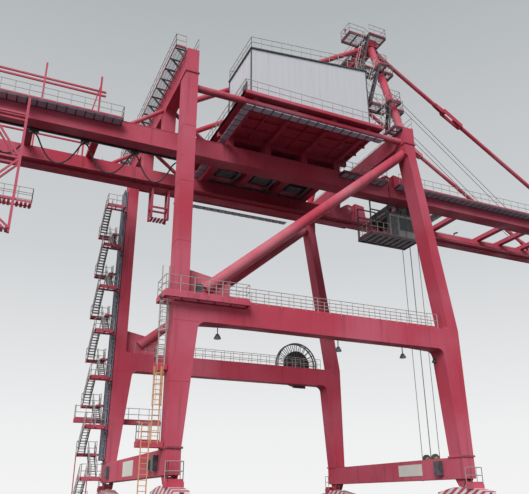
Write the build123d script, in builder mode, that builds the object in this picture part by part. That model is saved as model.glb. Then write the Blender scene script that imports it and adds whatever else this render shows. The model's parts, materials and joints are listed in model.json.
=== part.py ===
from build123d import *
from math import atan2, cos, sin
import os

os.makedirs("parts", exist_ok=True)

# Model millimetres for each metre of the real crane: a 1:10 model
M = 100.0

# Main sizes. X runs from the landside rail to the waterside rail, Y along the rails,
# Z up from the rail head. The landside rail is at X = 0.
RAIL_GAUGE = 22.0 * M
LEG_SPAN = 17.83 * M
BACK_REACH = 16.0 * M
OUTREACH = 35.5 * M
GIRDER_BOTTOM = 27.75 * M
PORTAL_TOP = 13.76 * M
APEX_HEIGHT = 45.5 * M

# Clearances of the model itself, in model millimetres
PIN_CLEARANCE = 0.1
RUN_CLEARANCE = 0.3
MOVE_CLEARANCE = 8.0

# Legs
LEG_DEPTH = 1.39 * M
LEG_Y = LEG_SPAN / 2
LEG_OUTER = LEG_Y + LEG_DEPTH / 2
LEG_INNER = LEG_Y - LEG_DEPTH / 2
LAND_FACE = -0.474 * M
LAND_FOOT_WIDTH = 0.90 * M
LAND_PORTAL_WIDTH = 1.68 * M
LAND_TOP_WIDTH = 0.948 * M
LAND_LEG_TOP = GIRDER_BOTTOM + 3.6 * M
WATER_FACE = RAIL_GAUGE + 0.5 * M
WATER_FOOT_WIDTH = 1.05 * M
WATER_PORTAL_WIDTH = 1.66 * M
WATER_UPPER_WIDTH = 0.96 * M
WATER_NECK_WIDTH = 0.81 * M
WATER_LEAN = 2.25 * M
WATER_NECK = GIRDER_BOTTOM + 1.0 * M
WATER_LEG_TOP = GIRDER_BOTTOM + 2.32 * M
WATER_HEAD_WIDTH = 1.05 * M
FLANGE = 0.08 * M
FLANGE_LIP = 0.07 * M

# Sill beams and portal beams
SILL_BOTTOM = 2.92 * M
SILL_TOP = 4.39 * M
PORTAL_DEPTH = 1.57 * M
PORTAL_BOTTOM = PORTAL_TOP - PORTAL_DEPTH
PORTAL_THICKNESS = 0.97 * M
PORTAL_FLARE = 2.6 * M
CORNER_RADIUS = 0.55 * M
TOP_CORNER_RADIUS = 0.25 * M

# Upper cross beams with their hangers
LAND_BEAM_DEPTH = 2.05 * M
WATER_BEAM_DEPTH = 1.56 * M
HANGER_RADIUS = 0.45 * M

# Girders and boom
GIRDER_Y = 3.41 * M
GIRDER_WIDTH = 1.06 * M
GIRDER_DEPTH = 1.64 * M
GIRDER_TOP = GIRDER_BOTTOM + GIRDER_DEPTH
BOOM_BOTTOM = GIRDER_BOTTOM + 0.10 * M
BOOM_DEPTH = 1.10 * M
BOOM_TOP = BOOM_BOTTOM + BOOM_DEPTH
BOOM_TIP = RAIL_GAUGE + OUTREACH
TIP_DEPTH = 0.75 * M
TIP_TAPER = 6.0 * M
HINGE_X = RAIL_GAUGE - 0.6 * M
HINGE_Z = BOOM_TOP + 0.75 * M
HINGE_PIN = 0.36 * M
HINGE_EYE = 0.48 * M
HINGE_PLATE = 0.16 * M
JOINT_GAP = 0.10 * M
GIRDER_END = HINGE_X - JOINT_GAP / 2
BOOM_ROOT = HINGE_X + JOINT_GAP / 2
NECK_START = WATER_FACE - WATER_LEAN - 2.4 * M
NECK_END = NECK_START + 1.2 * M
TIE_HEIGHT = 0.42 * M
TIE_WIDTH = 0.60 * M
GIRDER_TIES = (-10.4 * M, -5.2 * M, 5.4 * M, 8.9 * M, 12.5 * M, 15.9 * M)
BOOM_TIE_PITCH = 6.6 * M
BOOM_TIES = 5

# Trolley runway on the inner faces of girders and boom
LEDGE_BOTTOM = BOOM_BOTTOM + 0.10 * M
LEDGE_THICKNESS = 0.10 * M
LEDGE_WIDTH = 0.52 * M
RAIL_WIDTH = 0.10 * M
RAIL_HEIGHT = 0.12 * M
RAIL_Y = GIRDER_Y - GIRDER_WIDTH / 2 - 0.27 * M
RAIL_TOP = LEDGE_BOTTOM + LEDGE_THICKNESS + RAIL_HEIGHT

# Round members of the side frames and of the stays
TIE_PIPE = 0.56 * M
TIE_PIPE_Z = WATER_LEG_TOP + 0.37 * M
DIAGONAL_PIPE = 0.83 * M
DIAGONAL_LOW = (LAND_FACE + LAND_TOP_WIDTH + 1.28 * M, PORTAL_TOP + 0.80 * M)
DIAGONAL_HIGH = WATER_NECK + 0.85 * M
GUSSET = 0.12 * M
FRONT_PIPE = 0.72 * M
BACK_PIPE = 0.50 * M
APEX_X = WATER_FACE - WATER_LEAN + 0.68 * M
APEX_BEAM = 0.9 * M
APEX_BEAM_DEPTH = 0.8 * M

# Forestays: two links on each side, which fold when the boom goes up
STAY_LANDING = RAIL_GAUGE + 25.05 * M
STAY_SHARE = 0.326
STAY_PIN = 0.20 * M
STAY_BAR = 0.30 * M
STAY_BAR_PLATE = 0.14 * M
STAY_LOWER_PLATE = 0.20 * M
STAY_FORK_GAP = 0.34 * M
STAY_EYE = 0.44 * M
LUG_PLATE = 0.14 * M

# Machinery platform and house
DECK_BOTTOM = TIE_PIPE_Z + TIE_PIPE / 2 + 0.06 * M
DECK_THICKNESS = 0.22 * M
DECK_TOP = DECK_BOTTOM + DECK_THICKNESS
DECK_X = (4.35 * M, 17.1 * M)
DECK_BEAM = 0.45 * M
DECK_LONG_BEAM = 0.30 * M
DECK_POSTS = GIRDER_TIES[2:]
WALKWAY = 0.75 * M
HOUSE_X = (5.15 * M, 16.25 * M)
HOUSE_Y = (-8.8 * M, -4.0 * M)
DECK_HALF = -HOUSE_Y[0] + WALKWAY
HOUSE_LOW = 4.85 * M
HOUSE_HIGH = 6.1 * M
ROOF_THICKNESS = 0.10 * M
ROOF_EAVE = 0.12 * M

# Trolley, cab and spreader
TROLLEY_X = RAIL_GAUGE + 4.4 * M
TROLLEY_LENGTH = 6.0 * M
TROLLEY_BEAM = 0.50 * M
TROLLEY_BOTTOM = RAIL_TOP + 0.10 * M
TROLLEY_HALF = RAIL_Y - 0.30 * M
WHEEL_DIAMETER = 0.60 * M
WHEEL_WIDTH = 0.16 * M
WHEEL_BASE = 4.6 * M
ROPE = 0.06 * M
SWING_Z = GIRDER_BOTTOM - 0.15 * M
BOOM_ROPE_X = RAIL_GAUGE + 19.85 * M
BOOM_ROPE_Y = (-1.3 * M, -0.8 * M, 0.8 * M, 1.3 * M)
ROPE_Y = 0.60 * M
SHEAVE = 0.88 * M
SHEAVE_WIDTH = 0.16 * M
SHEAVE_SIDE = 0.02 * M
SHEAVE_SHAFT = 0.18 * M
SHEAVE_BAY = 2.75 * M
CHEEK = 0.06 * M
WHEEL_AXLE = 0.20 * M
WHEEL_HUB = 0.04 * M
CAB_X = (RAIL_GAUGE + 0.0 * M, RAIL_GAUGE + 3.1 * M)
CAB_Y = (-2.85 * M, -0.75 * M)
CAB_FLOOR = GIRDER_BOTTOM - 3.25 * M
CAB_HEIGHT = 2.3 * M
CAB_HANGER = 0.22 * M
SPREADER_BOTTOM = 3.1 * M
SPREADER_LENGTH = 6.06 * M
SPREADER_WIDTH = 2.44 * M
SPREADER_DEPTH = 0.55 * M
HEADBLOCK_BOTTOM = SPREADER_BOTTOM + 0.80 * M
HEADBLOCK_WIDTH = 1.9 * M
HEADBLOCK_LENGTH = 2.6 * M
HEADBLOCK_DEPTH = 0.35 * M
HEADBLOCK_AXLE = HEADBLOCK_BOTTOM + 0.90 * M
TWISTLOCK = 0.20 * M

# Wheel assemblies under each corner
RAIL_WHEEL = 0.70 * M
RAIL_WHEEL_WIDTH = 0.14 * M
WHEEL_FLANGE = 0.06 * M
AXLE = 0.14 * M
WHEEL_PITCH = 1.10 * M
TRUCK_HALF_WIDTH = 0.26 * M
TRUCK_HALF_LENGTH = 0.50 * M
TRUCK_TOP = 0.86 * M
TRUCK_PIN_Z = 1.02 * M
SUB_PIN_Z = 1.82 * M
MAIN_PIN_Z = 2.62 * M
SUB_HALF_WIDTH = 0.34 * M
MAIN_HALF_WIDTH = 0.46 * M
PIN = 0.16 * M
LUG_HALF = 0.12 * M
SLOT_SIDE = 0.02 * M
BUFFER = 0.30 * M
BUFFER_LENGTH = 0.42 * M
BUFFER_GAP = 0.06 * M
BUFFER_ARM = 0.05 * M
BUFFER_PLATE = 0.08 * M
BUFFER_Z = 0.58 * M


def block(x, y, z, mode=Mode.ADD):
    """A box between two X, two Y and two Z values."""
    with Locations(((x[0] + x[1]) / 2, (y[0] + y[1]) / 2, (z[0] + z[1]) / 2)):
        Box(x[1] - x[0], y[1] - y[0], z[1] - z[0], mode=mode)


def pipe(start, end, diameter, mode=Mode.ADD):
    """A round bar from one point to another."""
    axis = Vector(*end) - Vector(*start)
    with BuildSketch(Plane(origin=start, z_dir=axis)) as section:
        Circle(diameter / 2)
    extrude(to_extrude=section.sketch, amount=axis.length, mode=mode)


def side_plate(points, y, mode=Mode.ADD):
    """An outline in X and Z, made solid between two Y values."""
    with BuildSketch(Plane.XZ.offset(-y[1])) as section:
        with BuildLine():
            Polyline(*points, close=True)
        make_face()
    extrude(to_extrude=section.sketch, amount=y[1] - y[0], mode=mode)


def end_plate(points, x, mode=Mode.ADD):
    """An outline in Y and Z, made solid between two X values."""
    with BuildSketch(Plane.YZ.offset(x[0])) as section:
        with BuildLine():
            Polyline(*points, close=True)
        make_face()
    extrude(to_extrude=section.sketch, amount=x[1] - x[0], mode=mode)


def deck_plate(points, z, mode=Mode.ADD):
    """An outline in X and Y, made solid between two Z values."""
    with BuildSketch(Plane.XY.offset(z[0])) as section:
        with BuildLine():
            Polyline(*points, close=True)
        make_face()
    extrude(to_extrude=section.sketch, amount=z[1] - z[0], mode=mode)


def cross_pin(x, y, z, diameter, length, mode=Mode.ADD):
    """A pin along X, centred on a point."""
    pipe((x - length / 2, y, z), (x + length / 2, y, z), diameter, mode)


def side_pin(x, y, z, diameter, length, mode=Mode.ADD):
    """A pin along Y, centred on a point."""
    pipe((x, y - length / 2, z), (x, y + length / 2, z), diameter, mode)


def corner(sketch, across, up):
    """The vertex of an upright sketch that lies nearest a point of its own plane."""
    return sketch.vertices().sort_by_distance((across, up, 0))[0]


def write(part, name):
    """Label a finished piece and write it to its own file."""
    part.label = name
    export_step(part, f"parts/{name}.step")


def span(centre, width):
    """The two ends of a width about its centre."""
    return (centre - width / 2, centre + width / 2)


def both(value):
    """The same value on the near and on the far side."""
    return (-value, value)


# Legs. The landside leg is upright and widens to the portal; the waterside leg widens
# in the same way and then leans back to its neck below the upper cross beam.
LAND_FOOT = LAND_FACE + LAND_FOOT_WIDTH
LAND_PORTAL = LAND_FACE + LAND_PORTAL_WIDTH
LAND_UPPER = LAND_FACE + LAND_TOP_WIDTH
WATER_FOOT = WATER_FACE - WATER_FOOT_WIDTH
WATER_PORTAL = WATER_FACE - WATER_PORTAL_WIDTH
WATER_UPPER = WATER_FACE - WATER_UPPER_WIDTH
WATER_BACK = WATER_FACE - WATER_LEAN
WATER_THROAT = WATER_BACK - WATER_NECK_WIDTH
WATER_HEAD = WATER_BACK - WATER_HEAD_WIDTH
FOOT_Z = SILL_TOP + FLANGE

LAND_LEG_OUTLINE = (
    (LAND_FACE, FOOT_Z),
    (LAND_FOOT, FOOT_Z),
    (LAND_PORTAL, PORTAL_BOTTOM),
    (LAND_PORTAL, PORTAL_TOP),
    (LAND_UPPER, PORTAL_TOP),
    (LAND_UPPER, LAND_LEG_TOP - FLANGE),
    (LAND_FACE, LAND_LEG_TOP - FLANGE),
)
WATER_LEG_OUTLINE = (
    (WATER_FACE, FOOT_Z),
    (WATER_FOOT, FOOT_Z),
    (WATER_PORTAL, PORTAL_BOTTOM),
    (WATER_PORTAL, PORTAL_TOP),
    (WATER_UPPER, PORTAL_TOP),
    (WATER_THROAT, WATER_NECK),
    (WATER_HEAD, WATER_NECK + 0.25 * M),
    (WATER_HEAD, WATER_LEG_TOP - FLANGE),
    (WATER_BACK, WATER_LEG_TOP - FLANGE),
    (WATER_BACK, WATER_NECK),
    (WATER_FACE, PORTAL_TOP),
)


def legs(name, outline, foot, head, top):
    """A pair of box legs, each with a bolted flange at its foot and at its head."""
    with BuildPart() as pair:
        near = span(-LEG_Y, LEG_DEPTH)
        lip_y = span(-LEG_Y, LEG_DEPTH + 2 * FLANGE_LIP)
        with BuildSketch(Plane.XZ.offset(-near[1])) as section:
            with BuildLine():
                Polyline(*outline, close=True)
            make_face()
            fillet(corner(section, outline[4][0], PORTAL_TOP), TOP_CORNER_RADIUS)
        extrude(amount=LEG_DEPTH)
        block((foot[0] - FLANGE_LIP, foot[1] + FLANGE_LIP), lip_y, (SILL_TOP, FOOT_Z))
        block((head[0] - FLANGE_LIP, head[1] + FLANGE_LIP), lip_y, (top - FLANGE, top))
        mirror(about=Plane.XZ)
    write(pair.part, name)


legs("legs_landside", LAND_LEG_OUTLINE, (LAND_FACE, LAND_FOOT), (LAND_FACE, LAND_UPPER), LAND_LEG_TOP)
legs("legs_waterside", WATER_LEG_OUTLINE, (WATER_FOOT, WATER_FACE), (WATER_HEAD, WATER_BACK), WATER_LEG_TOP)

# Portal beams between the legs, with rounded corners under the flared ends
PORTAL_WEB = LEG_OUTER - PORTAL_THICKNESS
with BuildPart() as portal_beams:
    with BuildSketch(Plane.XZ.offset(LEG_INNER)) as outline:
        for points in (LAND_LEG_OUTLINE, WATER_LEG_OUTLINE):
            with BuildLine():
                Polyline(*points, close=True)
            make_face()
        with BuildLine():
            Polyline(
                (LAND_UPPER, PORTAL_BOTTOM),
                (WATER_UPPER, PORTAL_BOTTOM),
                (WATER_UPPER, PORTAL_TOP),
                (LAND_UPPER, PORTAL_TOP),
                close=True,
            )
        make_face()
        lower = [corner(outline, x, PORTAL_BOTTOM) for x in (LAND_PORTAL, WATER_PORTAL)]
        fillet(lower, CORNER_RADIUS)
        for points in (LAND_LEG_OUTLINE, WATER_LEG_OUTLINE):
            with BuildLine():
                Polyline(*points, close=True)
            make_face(mode=Mode.SUBTRACT)
    extrude(amount=LEG_DEPTH)
    deck_plate(
        (
            (LAND_PORTAL, -LEG_INNER + M),
            (LAND_PORTAL, -LEG_INNER),
            (LAND_PORTAL + PORTAL_FLARE, -PORTAL_WEB),
            (WATER_PORTAL - PORTAL_FLARE, -PORTAL_WEB),
            (WATER_PORTAL, -LEG_INNER),
            (WATER_PORTAL, -LEG_INNER + M),
        ),
        (PORTAL_BOTTOM - M, PORTAL_TOP + M),
        Mode.SUBTRACT,
    )
    mirror(about=Plane.XZ)
write(portal_beams.part, "portal_beams")

# Sill beams along the rails, under the legs
MAIN_EAR = 0.14 * M
MAIN_LUG_HALF = 0.20 * M
with BuildPart() as sill_beams:
    for rail_x, x in ((0.0, (LAND_FACE, LAND_FOOT)), (RAIL_GAUGE, (WATER_FOOT, WATER_FACE))):
        block(x, both(LEG_OUTER), (SILL_BOTTOM, SILL_TOP))
        for y in both(LEG_Y):
            for way in (-1, 1):
                inner = rail_x + way * (MAIN_LUG_HALF + SLOT_SIDE)
                outer = inner + way * MAIN_EAR
                end_plate(
                    (
                        (y - 0.55 * M, SILL_BOTTOM),
                        (y - 0.22 * M, MAIN_PIN_Z - 0.22 * M),
                        (y + 0.22 * M, MAIN_PIN_Z - 0.22 * M),
                        (y + 0.55 * M, SILL_BOTTOM),
                    ),
                    sorted((inner, outer)),
                )
            reach = 2 * (MAIN_LUG_HALF + SLOT_SIDE + MAIN_EAR) + 0.12 * M
            cross_pin(rail_x, y, MAIN_PIN_Z, PIN, reach)
write(sill_beams.part, "sill_beams")

# Wheel assemblies: eight wheels under each corner, in four trucks on two levels of beams
TRUCK_OFFSETS = [(2 * i - 3) * WHEEL_PITCH for i in range(4)]
SUB_OFFSETS = [-2 * WHEEL_PITCH, 2 * WHEEL_PITCH]
CORNERS = [(x, y) for x in (0.0, RAIL_GAUGE) for y in both(LEG_Y)]
PIN_HOLE = PIN + 2 * PIN_CLEARANCE

with BuildPart() as main_equalizers:
    for x, y in CORNERS:
        ends = 2 * WHEEL_PITCH
        end_plate(
            (
                (y - ends - 0.30 * M, SUB_PIN_Z - 0.20 * M),
                (y + ends + 0.30 * M, SUB_PIN_Z - 0.20 * M),
                (y + ends + 0.30 * M, SUB_PIN_Z + 0.22 * M),
                (y + 0.75 * M, MAIN_PIN_Z - 0.26 * M),
                (y - 0.75 * M, MAIN_PIN_Z - 0.26 * M),
                (y - ends - 0.30 * M, SUB_PIN_Z + 0.22 * M),
            ),
            span(x, 2 * MAIN_HALF_WIDTH),
        )
        block(
            span(x, 2 * MAIN_LUG_HALF),
            span(y, 0.5 * M),
            (MAIN_PIN_Z - 0.3 * M, MAIN_PIN_Z + 0.22 * M),
        )
        cross_pin(x, y, MAIN_PIN_Z, PIN_HOLE, M, Mode.SUBTRACT)
        for end in SUB_OFFSETS:
            block(
                span(x, 2 * (LUG_HALF + SLOT_SIDE)),
                span(y + end, 0.75 * M),
                (SUB_PIN_Z - 0.5 * M, SUB_PIN_Z + 0.16 * M),
                Mode.SUBTRACT,
            )
            cross_pin(x, y + end, SUB_PIN_Z, PIN, 2 * MAIN_HALF_WIDTH + 0.12 * M)
write(main_equalizers.part, "main_equalizers")

with BuildPart() as sub_equalizers:
    for x, y in CORNERS:
        for offset in SUB_OFFSETS:
            centre = y + offset
            end_plate(
                (
                    (centre - WHEEL_PITCH - 0.26 * M, TRUCK_PIN_Z - 0.13 * M),
                    (centre + WHEEL_PITCH + 0.26 * M, TRUCK_PIN_Z - 0.13 * M),
                    (centre + WHEEL_PITCH + 0.26 * M, TRUCK_PIN_Z + 0.20 * M),
                    (centre + 0.45 * M, SUB_PIN_Z - 0.26 * M),
                    (centre - 0.45 * M, SUB_PIN_Z - 0.26 * M),
                    (centre - WHEEL_PITCH - 0.26 * M, TRUCK_PIN_Z + 0.20 * M),
                ),
                span(x, 2 * SUB_HALF_WIDTH),
            )
            block(
                span(x, 2 * LUG_HALF),
                span(centre, 0.4 * M),
                (SUB_PIN_Z - 0.3 * M, SUB_PIN_Z + 0.13 * M),
            )
            cross_pin(x, centre, SUB_PIN_Z, PIN_HOLE, M, Mode.SUBTRACT)
            for end in both(WHEEL_PITCH):
                block(
                    span(x, 2 * (LUG_HALF + SLOT_SIDE)),
                    span(centre + end, 0.62 * M),
                    (TRUCK_PIN_Z - 0.4 * M, TRUCK_PIN_Z + 0.15 * M),
                    Mode.SUBTRACT,
                )
                cross_pin(x, centre + end, TRUCK_PIN_Z, PIN, 2 * SUB_HALF_WIDTH + 0.1 * M)
write(sub_equalizers.part, "sub_equalizers")

with BuildPart() as wheel_trucks:
    for x, y in CORNERS:
        for offset in TRUCK_OFFSETS:
            centre = y + offset
            end_plate(
                (
                    (centre - TRUCK_HALF_LENGTH, 0.16 * M),
                    (centre + TRUCK_HALF_LENGTH, 0.16 * M),
                    (centre + TRUCK_HALF_LENGTH, 0.55 * M),
                    (centre + 0.25 * M, TRUCK_TOP),
                    (centre - 0.25 * M, TRUCK_TOP),
                    (centre - TRUCK_HALF_LENGTH, 0.55 * M),
                ),
                span(x, 2 * TRUCK_HALF_WIDTH),
            )
            block(
                span(x, 2 * LUG_HALF),
                span(centre, 0.34 * M),
                (TRUCK_TOP - 0.1 * M, TRUCK_PIN_Z + 0.12 * M),
            )
            cross_pin(x, centre, TRUCK_PIN_Z, PIN_HOLE, M, Mode.SUBTRACT)
            for end in both(WHEEL_PITCH / 2):
                cross_pin(
                    x,
                    centre + end,
                    RAIL_WHEEL / 2,
                    RAIL_WHEEL + 2 * WHEEL_FLANGE + 0.06 * M,
                    RAIL_WHEEL_WIDTH + 0.12 * M,
                    Mode.SUBTRACT,
                )
                cross_pin(
                    x,
                    centre + end,
                    RAIL_WHEEL / 2,
                    AXLE + 2 * PIN_CLEARANCE,
                    M,
                    Mode.SUBTRACT,
                )
write(wheel_trucks.part, "wheel_trucks")

with BuildPart() as rail_wheels:
    for x, y in CORNERS:
        for offset in TRUCK_OFFSETS:
            for end in both(WHEEL_PITCH / 2):
                centre = (x, y + offset + end, RAIL_WHEEL / 2)
                cross_pin(*centre, RAIL_WHEEL, RAIL_WHEEL_WIDTH)
                cross_pin(*centre, AXLE, 2 * TRUCK_HALF_WIDTH + 0.08 * M)
write(rail_wheels.part, "rail_wheels")


def upper_beam(name, x, leg_top, depth, hanger_foot, hanger_x):
    """A cross beam over two legs, with two hangers that carry the girders."""
    with BuildPart() as beam:
        with BuildSketch(Plane.YZ.offset(x[0])) as outline:
            beam_top = leg_top + depth
            with BuildLine():
                Polyline(
                    (-LEG_OUTER, leg_top),
                    (LEG_OUTER, leg_top),
                    (LEG_OUTER, beam_top),
                    (-LEG_OUTER, beam_top),
                    close=True,
                )
            make_face()
        extrude(amount=x[1] - x[0])
        with BuildSketch(Plane.YZ.offset(hanger_x[0])) as hanger_outline:
            with Locations((0, leg_top + depth / 2)):
                Rectangle(2 * LEG_INNER, depth)
            for y in both(GIRDER_Y):
                with Locations((y, (hanger_foot + leg_top) / 2)):
                    Rectangle(GIRDER_WIDTH, leg_top - hanger_foot)
            sides = [y + w for y in both(GIRDER_Y) for w in both(GIRDER_WIDTH / 2)]
            fillet([corner(hanger_outline, y, leg_top) for y in sides], HANGER_RADIUS)
        extrude(amount=hanger_x[1] - hanger_x[0])
    write(beam.part, name)


LAND_BEAM_TOP = LAND_LEG_TOP + LAND_BEAM_DEPTH
WATER_BEAM_TOP = WATER_LEG_TOP + WATER_BEAM_DEPTH
upper_beam(
    "crossbeam_landside",
    (LAND_FACE, LAND_UPPER),
    LAND_LEG_TOP,
    LAND_BEAM_DEPTH,
    GIRDER_TOP,
    (LAND_FACE, LAND_UPPER),
)
upper_beam(
    "crossbeam_waterside",
    (WATER_HEAD, WATER_BACK),
    WATER_LEG_TOP,
    WATER_BEAM_DEPTH,
    BOOM_TOP,
    (WATER_HEAD, WATER_BACK),
)

# Tie pipes between the heads of the legs, and the long diagonals of the side frames
with BuildPart() as tie_pipes:
    for y in both(LEG_Y):
        pipe((LAND_UPPER, y, TIE_PIPE_Z), (WATER_HEAD, y, TIE_PIPE_Z), TIE_PIPE)
write(tie_pipes.part, "tie_pipes")

with BuildPart() as diagonal_pipes:
    low_x, low_z = DIAGONAL_LOW
    for y in both(LEG_Y):
        pipe((low_x, y, low_z), (WATER_BACK - 0.4 * M, y, DIAGONAL_HIGH), DIAGONAL_PIPE)
        side_plate(WATER_LEG_OUTLINE, span(y, LEG_DEPTH + M), Mode.SUBTRACT)
        side_plate(
            (
                (LAND_UPPER + TOP_CORNER_RADIUS, PORTAL_TOP),
                (low_x + 1.7 * M, PORTAL_TOP),
                (low_x + 1.9 * M, low_z + 1.45 * M),
                (low_x + 0.5 * M, low_z + 0.95 * M),
                (LAND_UPPER, PORTAL_TOP + 2.1 * M),
                (LAND_UPPER, PORTAL_TOP + TOP_CORNER_RADIUS),
            ),
            span(y, GUSSET),
        )
write(diagonal_pipes.part, "diagonal_pipes")


def runway_ledge(x):
    """The ledge on the inner face of the near girder that carries the trolley rail."""
    face = -GIRDER_Y + GIRDER_WIDTH / 2
    block(x, (face, face + LEDGE_WIDTH), (LEDGE_BOTTOM, LEDGE_BOTTOM + LEDGE_THICKNESS))


# Girders of the fixed part, from the back reach to the boom hinge
with BuildPart() as fixed_girders:
    side_plate(
        (
            (-BACK_REACH, GIRDER_TOP),
            (-BACK_REACH, GIRDER_BOTTOM + 0.5 * M),
            (-BACK_REACH + 1.2 * M, GIRDER_BOTTOM),
            (GIRDER_END, GIRDER_BOTTOM),
            (GIRDER_END, BOOM_TOP),
            (NECK_END, BOOM_TOP),
            (NECK_START, GIRDER_TOP),
        ),
        span(-GIRDER_Y, GIRDER_WIDTH),
    )
    runway_ledge((-BACK_REACH + 1.2 * M, GIRDER_END))
    mirror(about=Plane.XZ)
write(fixed_girders.part, "fixed_girders")

with BuildPart() as girder_ties:
    for x in GIRDER_TIES:
        block(span(x, TIE_WIDTH), both(GIRDER_Y + 0.4 * M), (GIRDER_TOP, GIRDER_TOP + TIE_HEIGHT))
    inner = GIRDER_Y - GIRDER_WIDTH / 2
    block(
        (-BACK_REACH, -BACK_REACH + TIE_WIDTH),
        both(inner),
        (GIRDER_BOTTOM + 0.7 * M, GIRDER_TOP),
    )
write(girder_ties.part, "girder_ties")

with BuildPart() as runway_rails:
    block(
        (-BACK_REACH + 1.3 * M, GIRDER_END),
        span(-RAIL_Y, RAIL_WIDTH),
        (LEDGE_BOTTOM + LEDGE_THICKNESS, RAIL_TOP),
    )
    mirror(about=Plane.XZ)
write(runway_rails.part, "runway_rails")

# Boom: two box girders that taper to the tip, tied across on top
BOOM_TIE_X = [BOOM_ROOT + 4.0 * M + i * BOOM_TIE_PITCH for i in range(BOOM_TIES)]
with BuildPart() as boom_girders:
    side_plate(
        (
            (BOOM_ROOT, BOOM_BOTTOM),
            (BOOM_TIP - TIP_TAPER, BOOM_BOTTOM),
            (BOOM_TIP, BOOM_TOP - TIP_DEPTH),
            (BOOM_TIP, BOOM_TOP),
            (BOOM_ROOT, BOOM_TOP),
        ),
        span(-GIRDER_Y, GIRDER_WIDTH),
    )
    runway_ledge((BOOM_ROOT, BOOM_TIP - TIP_TAPER))
    mirror(about=Plane.XZ)
write(boom_girders.part, "boom_girders")

with BuildPart() as boom_ties:
    for x in (*BOOM_TIE_X, BOOM_ROPE_X):
        block(span(x, TIE_WIDTH), both(GIRDER_Y + 0.4 * M), (BOOM_TOP, BOOM_TOP + TIE_HEIGHT))
    block(
        (BOOM_TIP - TIE_WIDTH, BOOM_TIP),
        both(GIRDER_Y - GIRDER_WIDTH / 2),
        (BOOM_TOP - TIP_DEPTH + 0.1 * M, BOOM_TOP),
    )
write(boom_ties.part, "boom_ties")

with BuildPart() as boom_rails:
    block(
        (BOOM_ROOT, BOOM_TIP - TIP_TAPER),
        span(-RAIL_Y, RAIL_WIDTH),
        (LEDGE_BOTTOM + LEDGE_THICKNESS, RAIL_TOP),
    )
    mirror(about=Plane.XZ)
write(boom_rails.part, "boom_rails")

# Boom hinge: two ears on each fixed girder hold a pin, and the boom's lug turns on it
with BuildPart() as hinge_ears:
    for y in both(GIRDER_Y):
        for way in (-1, 1):
            near = y + way * HINGE_PLATE * 1.2
            far = near + way * HINGE_PLATE
            ear = sorted((near, far))
            side_plate(
                (
                    (WATER_BACK + 0.15 * M, BOOM_TOP),
                    (GIRDER_END, BOOM_TOP),
                    (HINGE_X + 0.3 * M, HINGE_Z - 0.3 * M),
                    (HINGE_X + 0.2 * M, HINGE_Z + 0.4 * M),
                    (HINGE_X - 0.3 * M, HINGE_Z + 0.4 * M),
                    (WATER_BACK + 0.15 * M, BOOM_TOP + 0.7 * M),
                ),
                ear,
            )
            side_pin(HINGE_X, sum(ear) / 2, HINGE_Z, 2 * HINGE_EYE, HINGE_PLATE)
        hole = HINGE_PIN + 2 * PIN_CLEARANCE
        side_pin(HINGE_X, y, HINGE_Z, hole, 2 * M, Mode.SUBTRACT)
write(hinge_ears.part, "hinge_ears")

with BuildPart() as hinge_pins:
    for y in both(GIRDER_Y):
        side_pin(HINGE_X, y, HINGE_Z, HINGE_PIN, 5.2 * HINGE_PLATE)
write(hinge_pins.part, "hinge_pins")

with BuildPart() as boom_root_brackets:
    for y in both(GIRDER_Y):
        lug = span(y, 2 * HINGE_PLATE)
        side_pin(HINGE_X, y, HINGE_Z, 2 * HINGE_EYE, 2 * HINGE_PLATE)
        side_plate(
            (
                (HINGE_X + 0.12 * M, BOOM_TOP),
                (HINGE_X + 0.9 * M, BOOM_TOP),
                (HINGE_X + 0.9 * M, BOOM_TOP + 1.3 * M),
                (HINGE_X, HINGE_Z + HINGE_EYE),
            ),
            lug,
        )
        side_pin(
            HINGE_X, y, HINGE_Z, HINGE_PIN + 2 * PIN_CLEARANCE, 2 * M, Mode.SUBTRACT
        )
        side_plate(
            (
                (HINGE_X + 0.75 * M, BOOM_TOP),
                (HINGE_X + 2.0 * M, BOOM_TOP),
                (HINGE_X + 1.85 * M, BOOM_TOP + 1.3 * M),
                (HINGE_X + 0.75 * M, BOOM_TOP + 1.45 * M),
            ),
            span(y, 0.86 * M),
        )
write(boom_root_brackets.part, "boom_root_brackets")

# Apex of the A-frame: a box beam over the girders, held by two raking front pipes and
# by two back stays from the landside cross beam
APEX_BOX_X = span(APEX_X, APEX_BEAM)
APEX_BOX_Z = (APEX_HEIGHT - APEX_BEAM_DEPTH / 2, APEX_HEIGHT + APEX_BEAM_DEPTH / 2)
with BuildPart() as apex_beam:
    block(APEX_BOX_X, both(GIRDER_Y + 0.75 * M), APEX_BOX_Z)
write(apex_beam.part, "apex_beam")

with BuildPart() as front_pipes:
    pipe(
        (WATER_BACK - 0.55 * M, -LEG_Y, WATER_BEAM_TOP - 0.6 * M),
        (APEX_X, -GIRDER_Y - 0.1 * M, APEX_BOX_Z[0] + 0.6 * M),
        FRONT_PIPE,
    )
    block((WATER_HEAD - 2 * M, WATER_BACK + 2 * M), (-2 * LEG_Y, 0), (0, WATER_BEAM_TOP), Mode.SUBTRACT)
    block((WATER_HEAD - 2 * M, WATER_BACK + 3 * M), (-LEG_Y, 0), (APEX_BOX_Z[0], APEX_BOX_Z[1] + 2 * M), Mode.SUBTRACT)
    mirror(about=Plane.XZ)
write(front_pipes.part, "front_pipes")

with BuildPart() as back_stays:
    for y in both(GIRDER_Y):
        pipe(
            (LAND_UPPER - 0.5 * M, y, LAND_LEG_TOP + 0.6 * M),
            (APEX_X, y, APEX_HEIGHT + 0.1 * M),
            BACK_PIPE,
        )
    block((-2 * M, LAND_UPPER), both(2 * GIRDER_Y), (GIRDER_TOP, APEX_HEIGHT), Mode.SUBTRACT)
    block((APEX_BOX_X[0], APEX_X + 2 * M), both(2 * GIRDER_Y), (GIRDER_TOP, APEX_HEIGHT + 2 * M), Mode.SUBTRACT)
write(back_stays.part, "back_stays")


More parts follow.
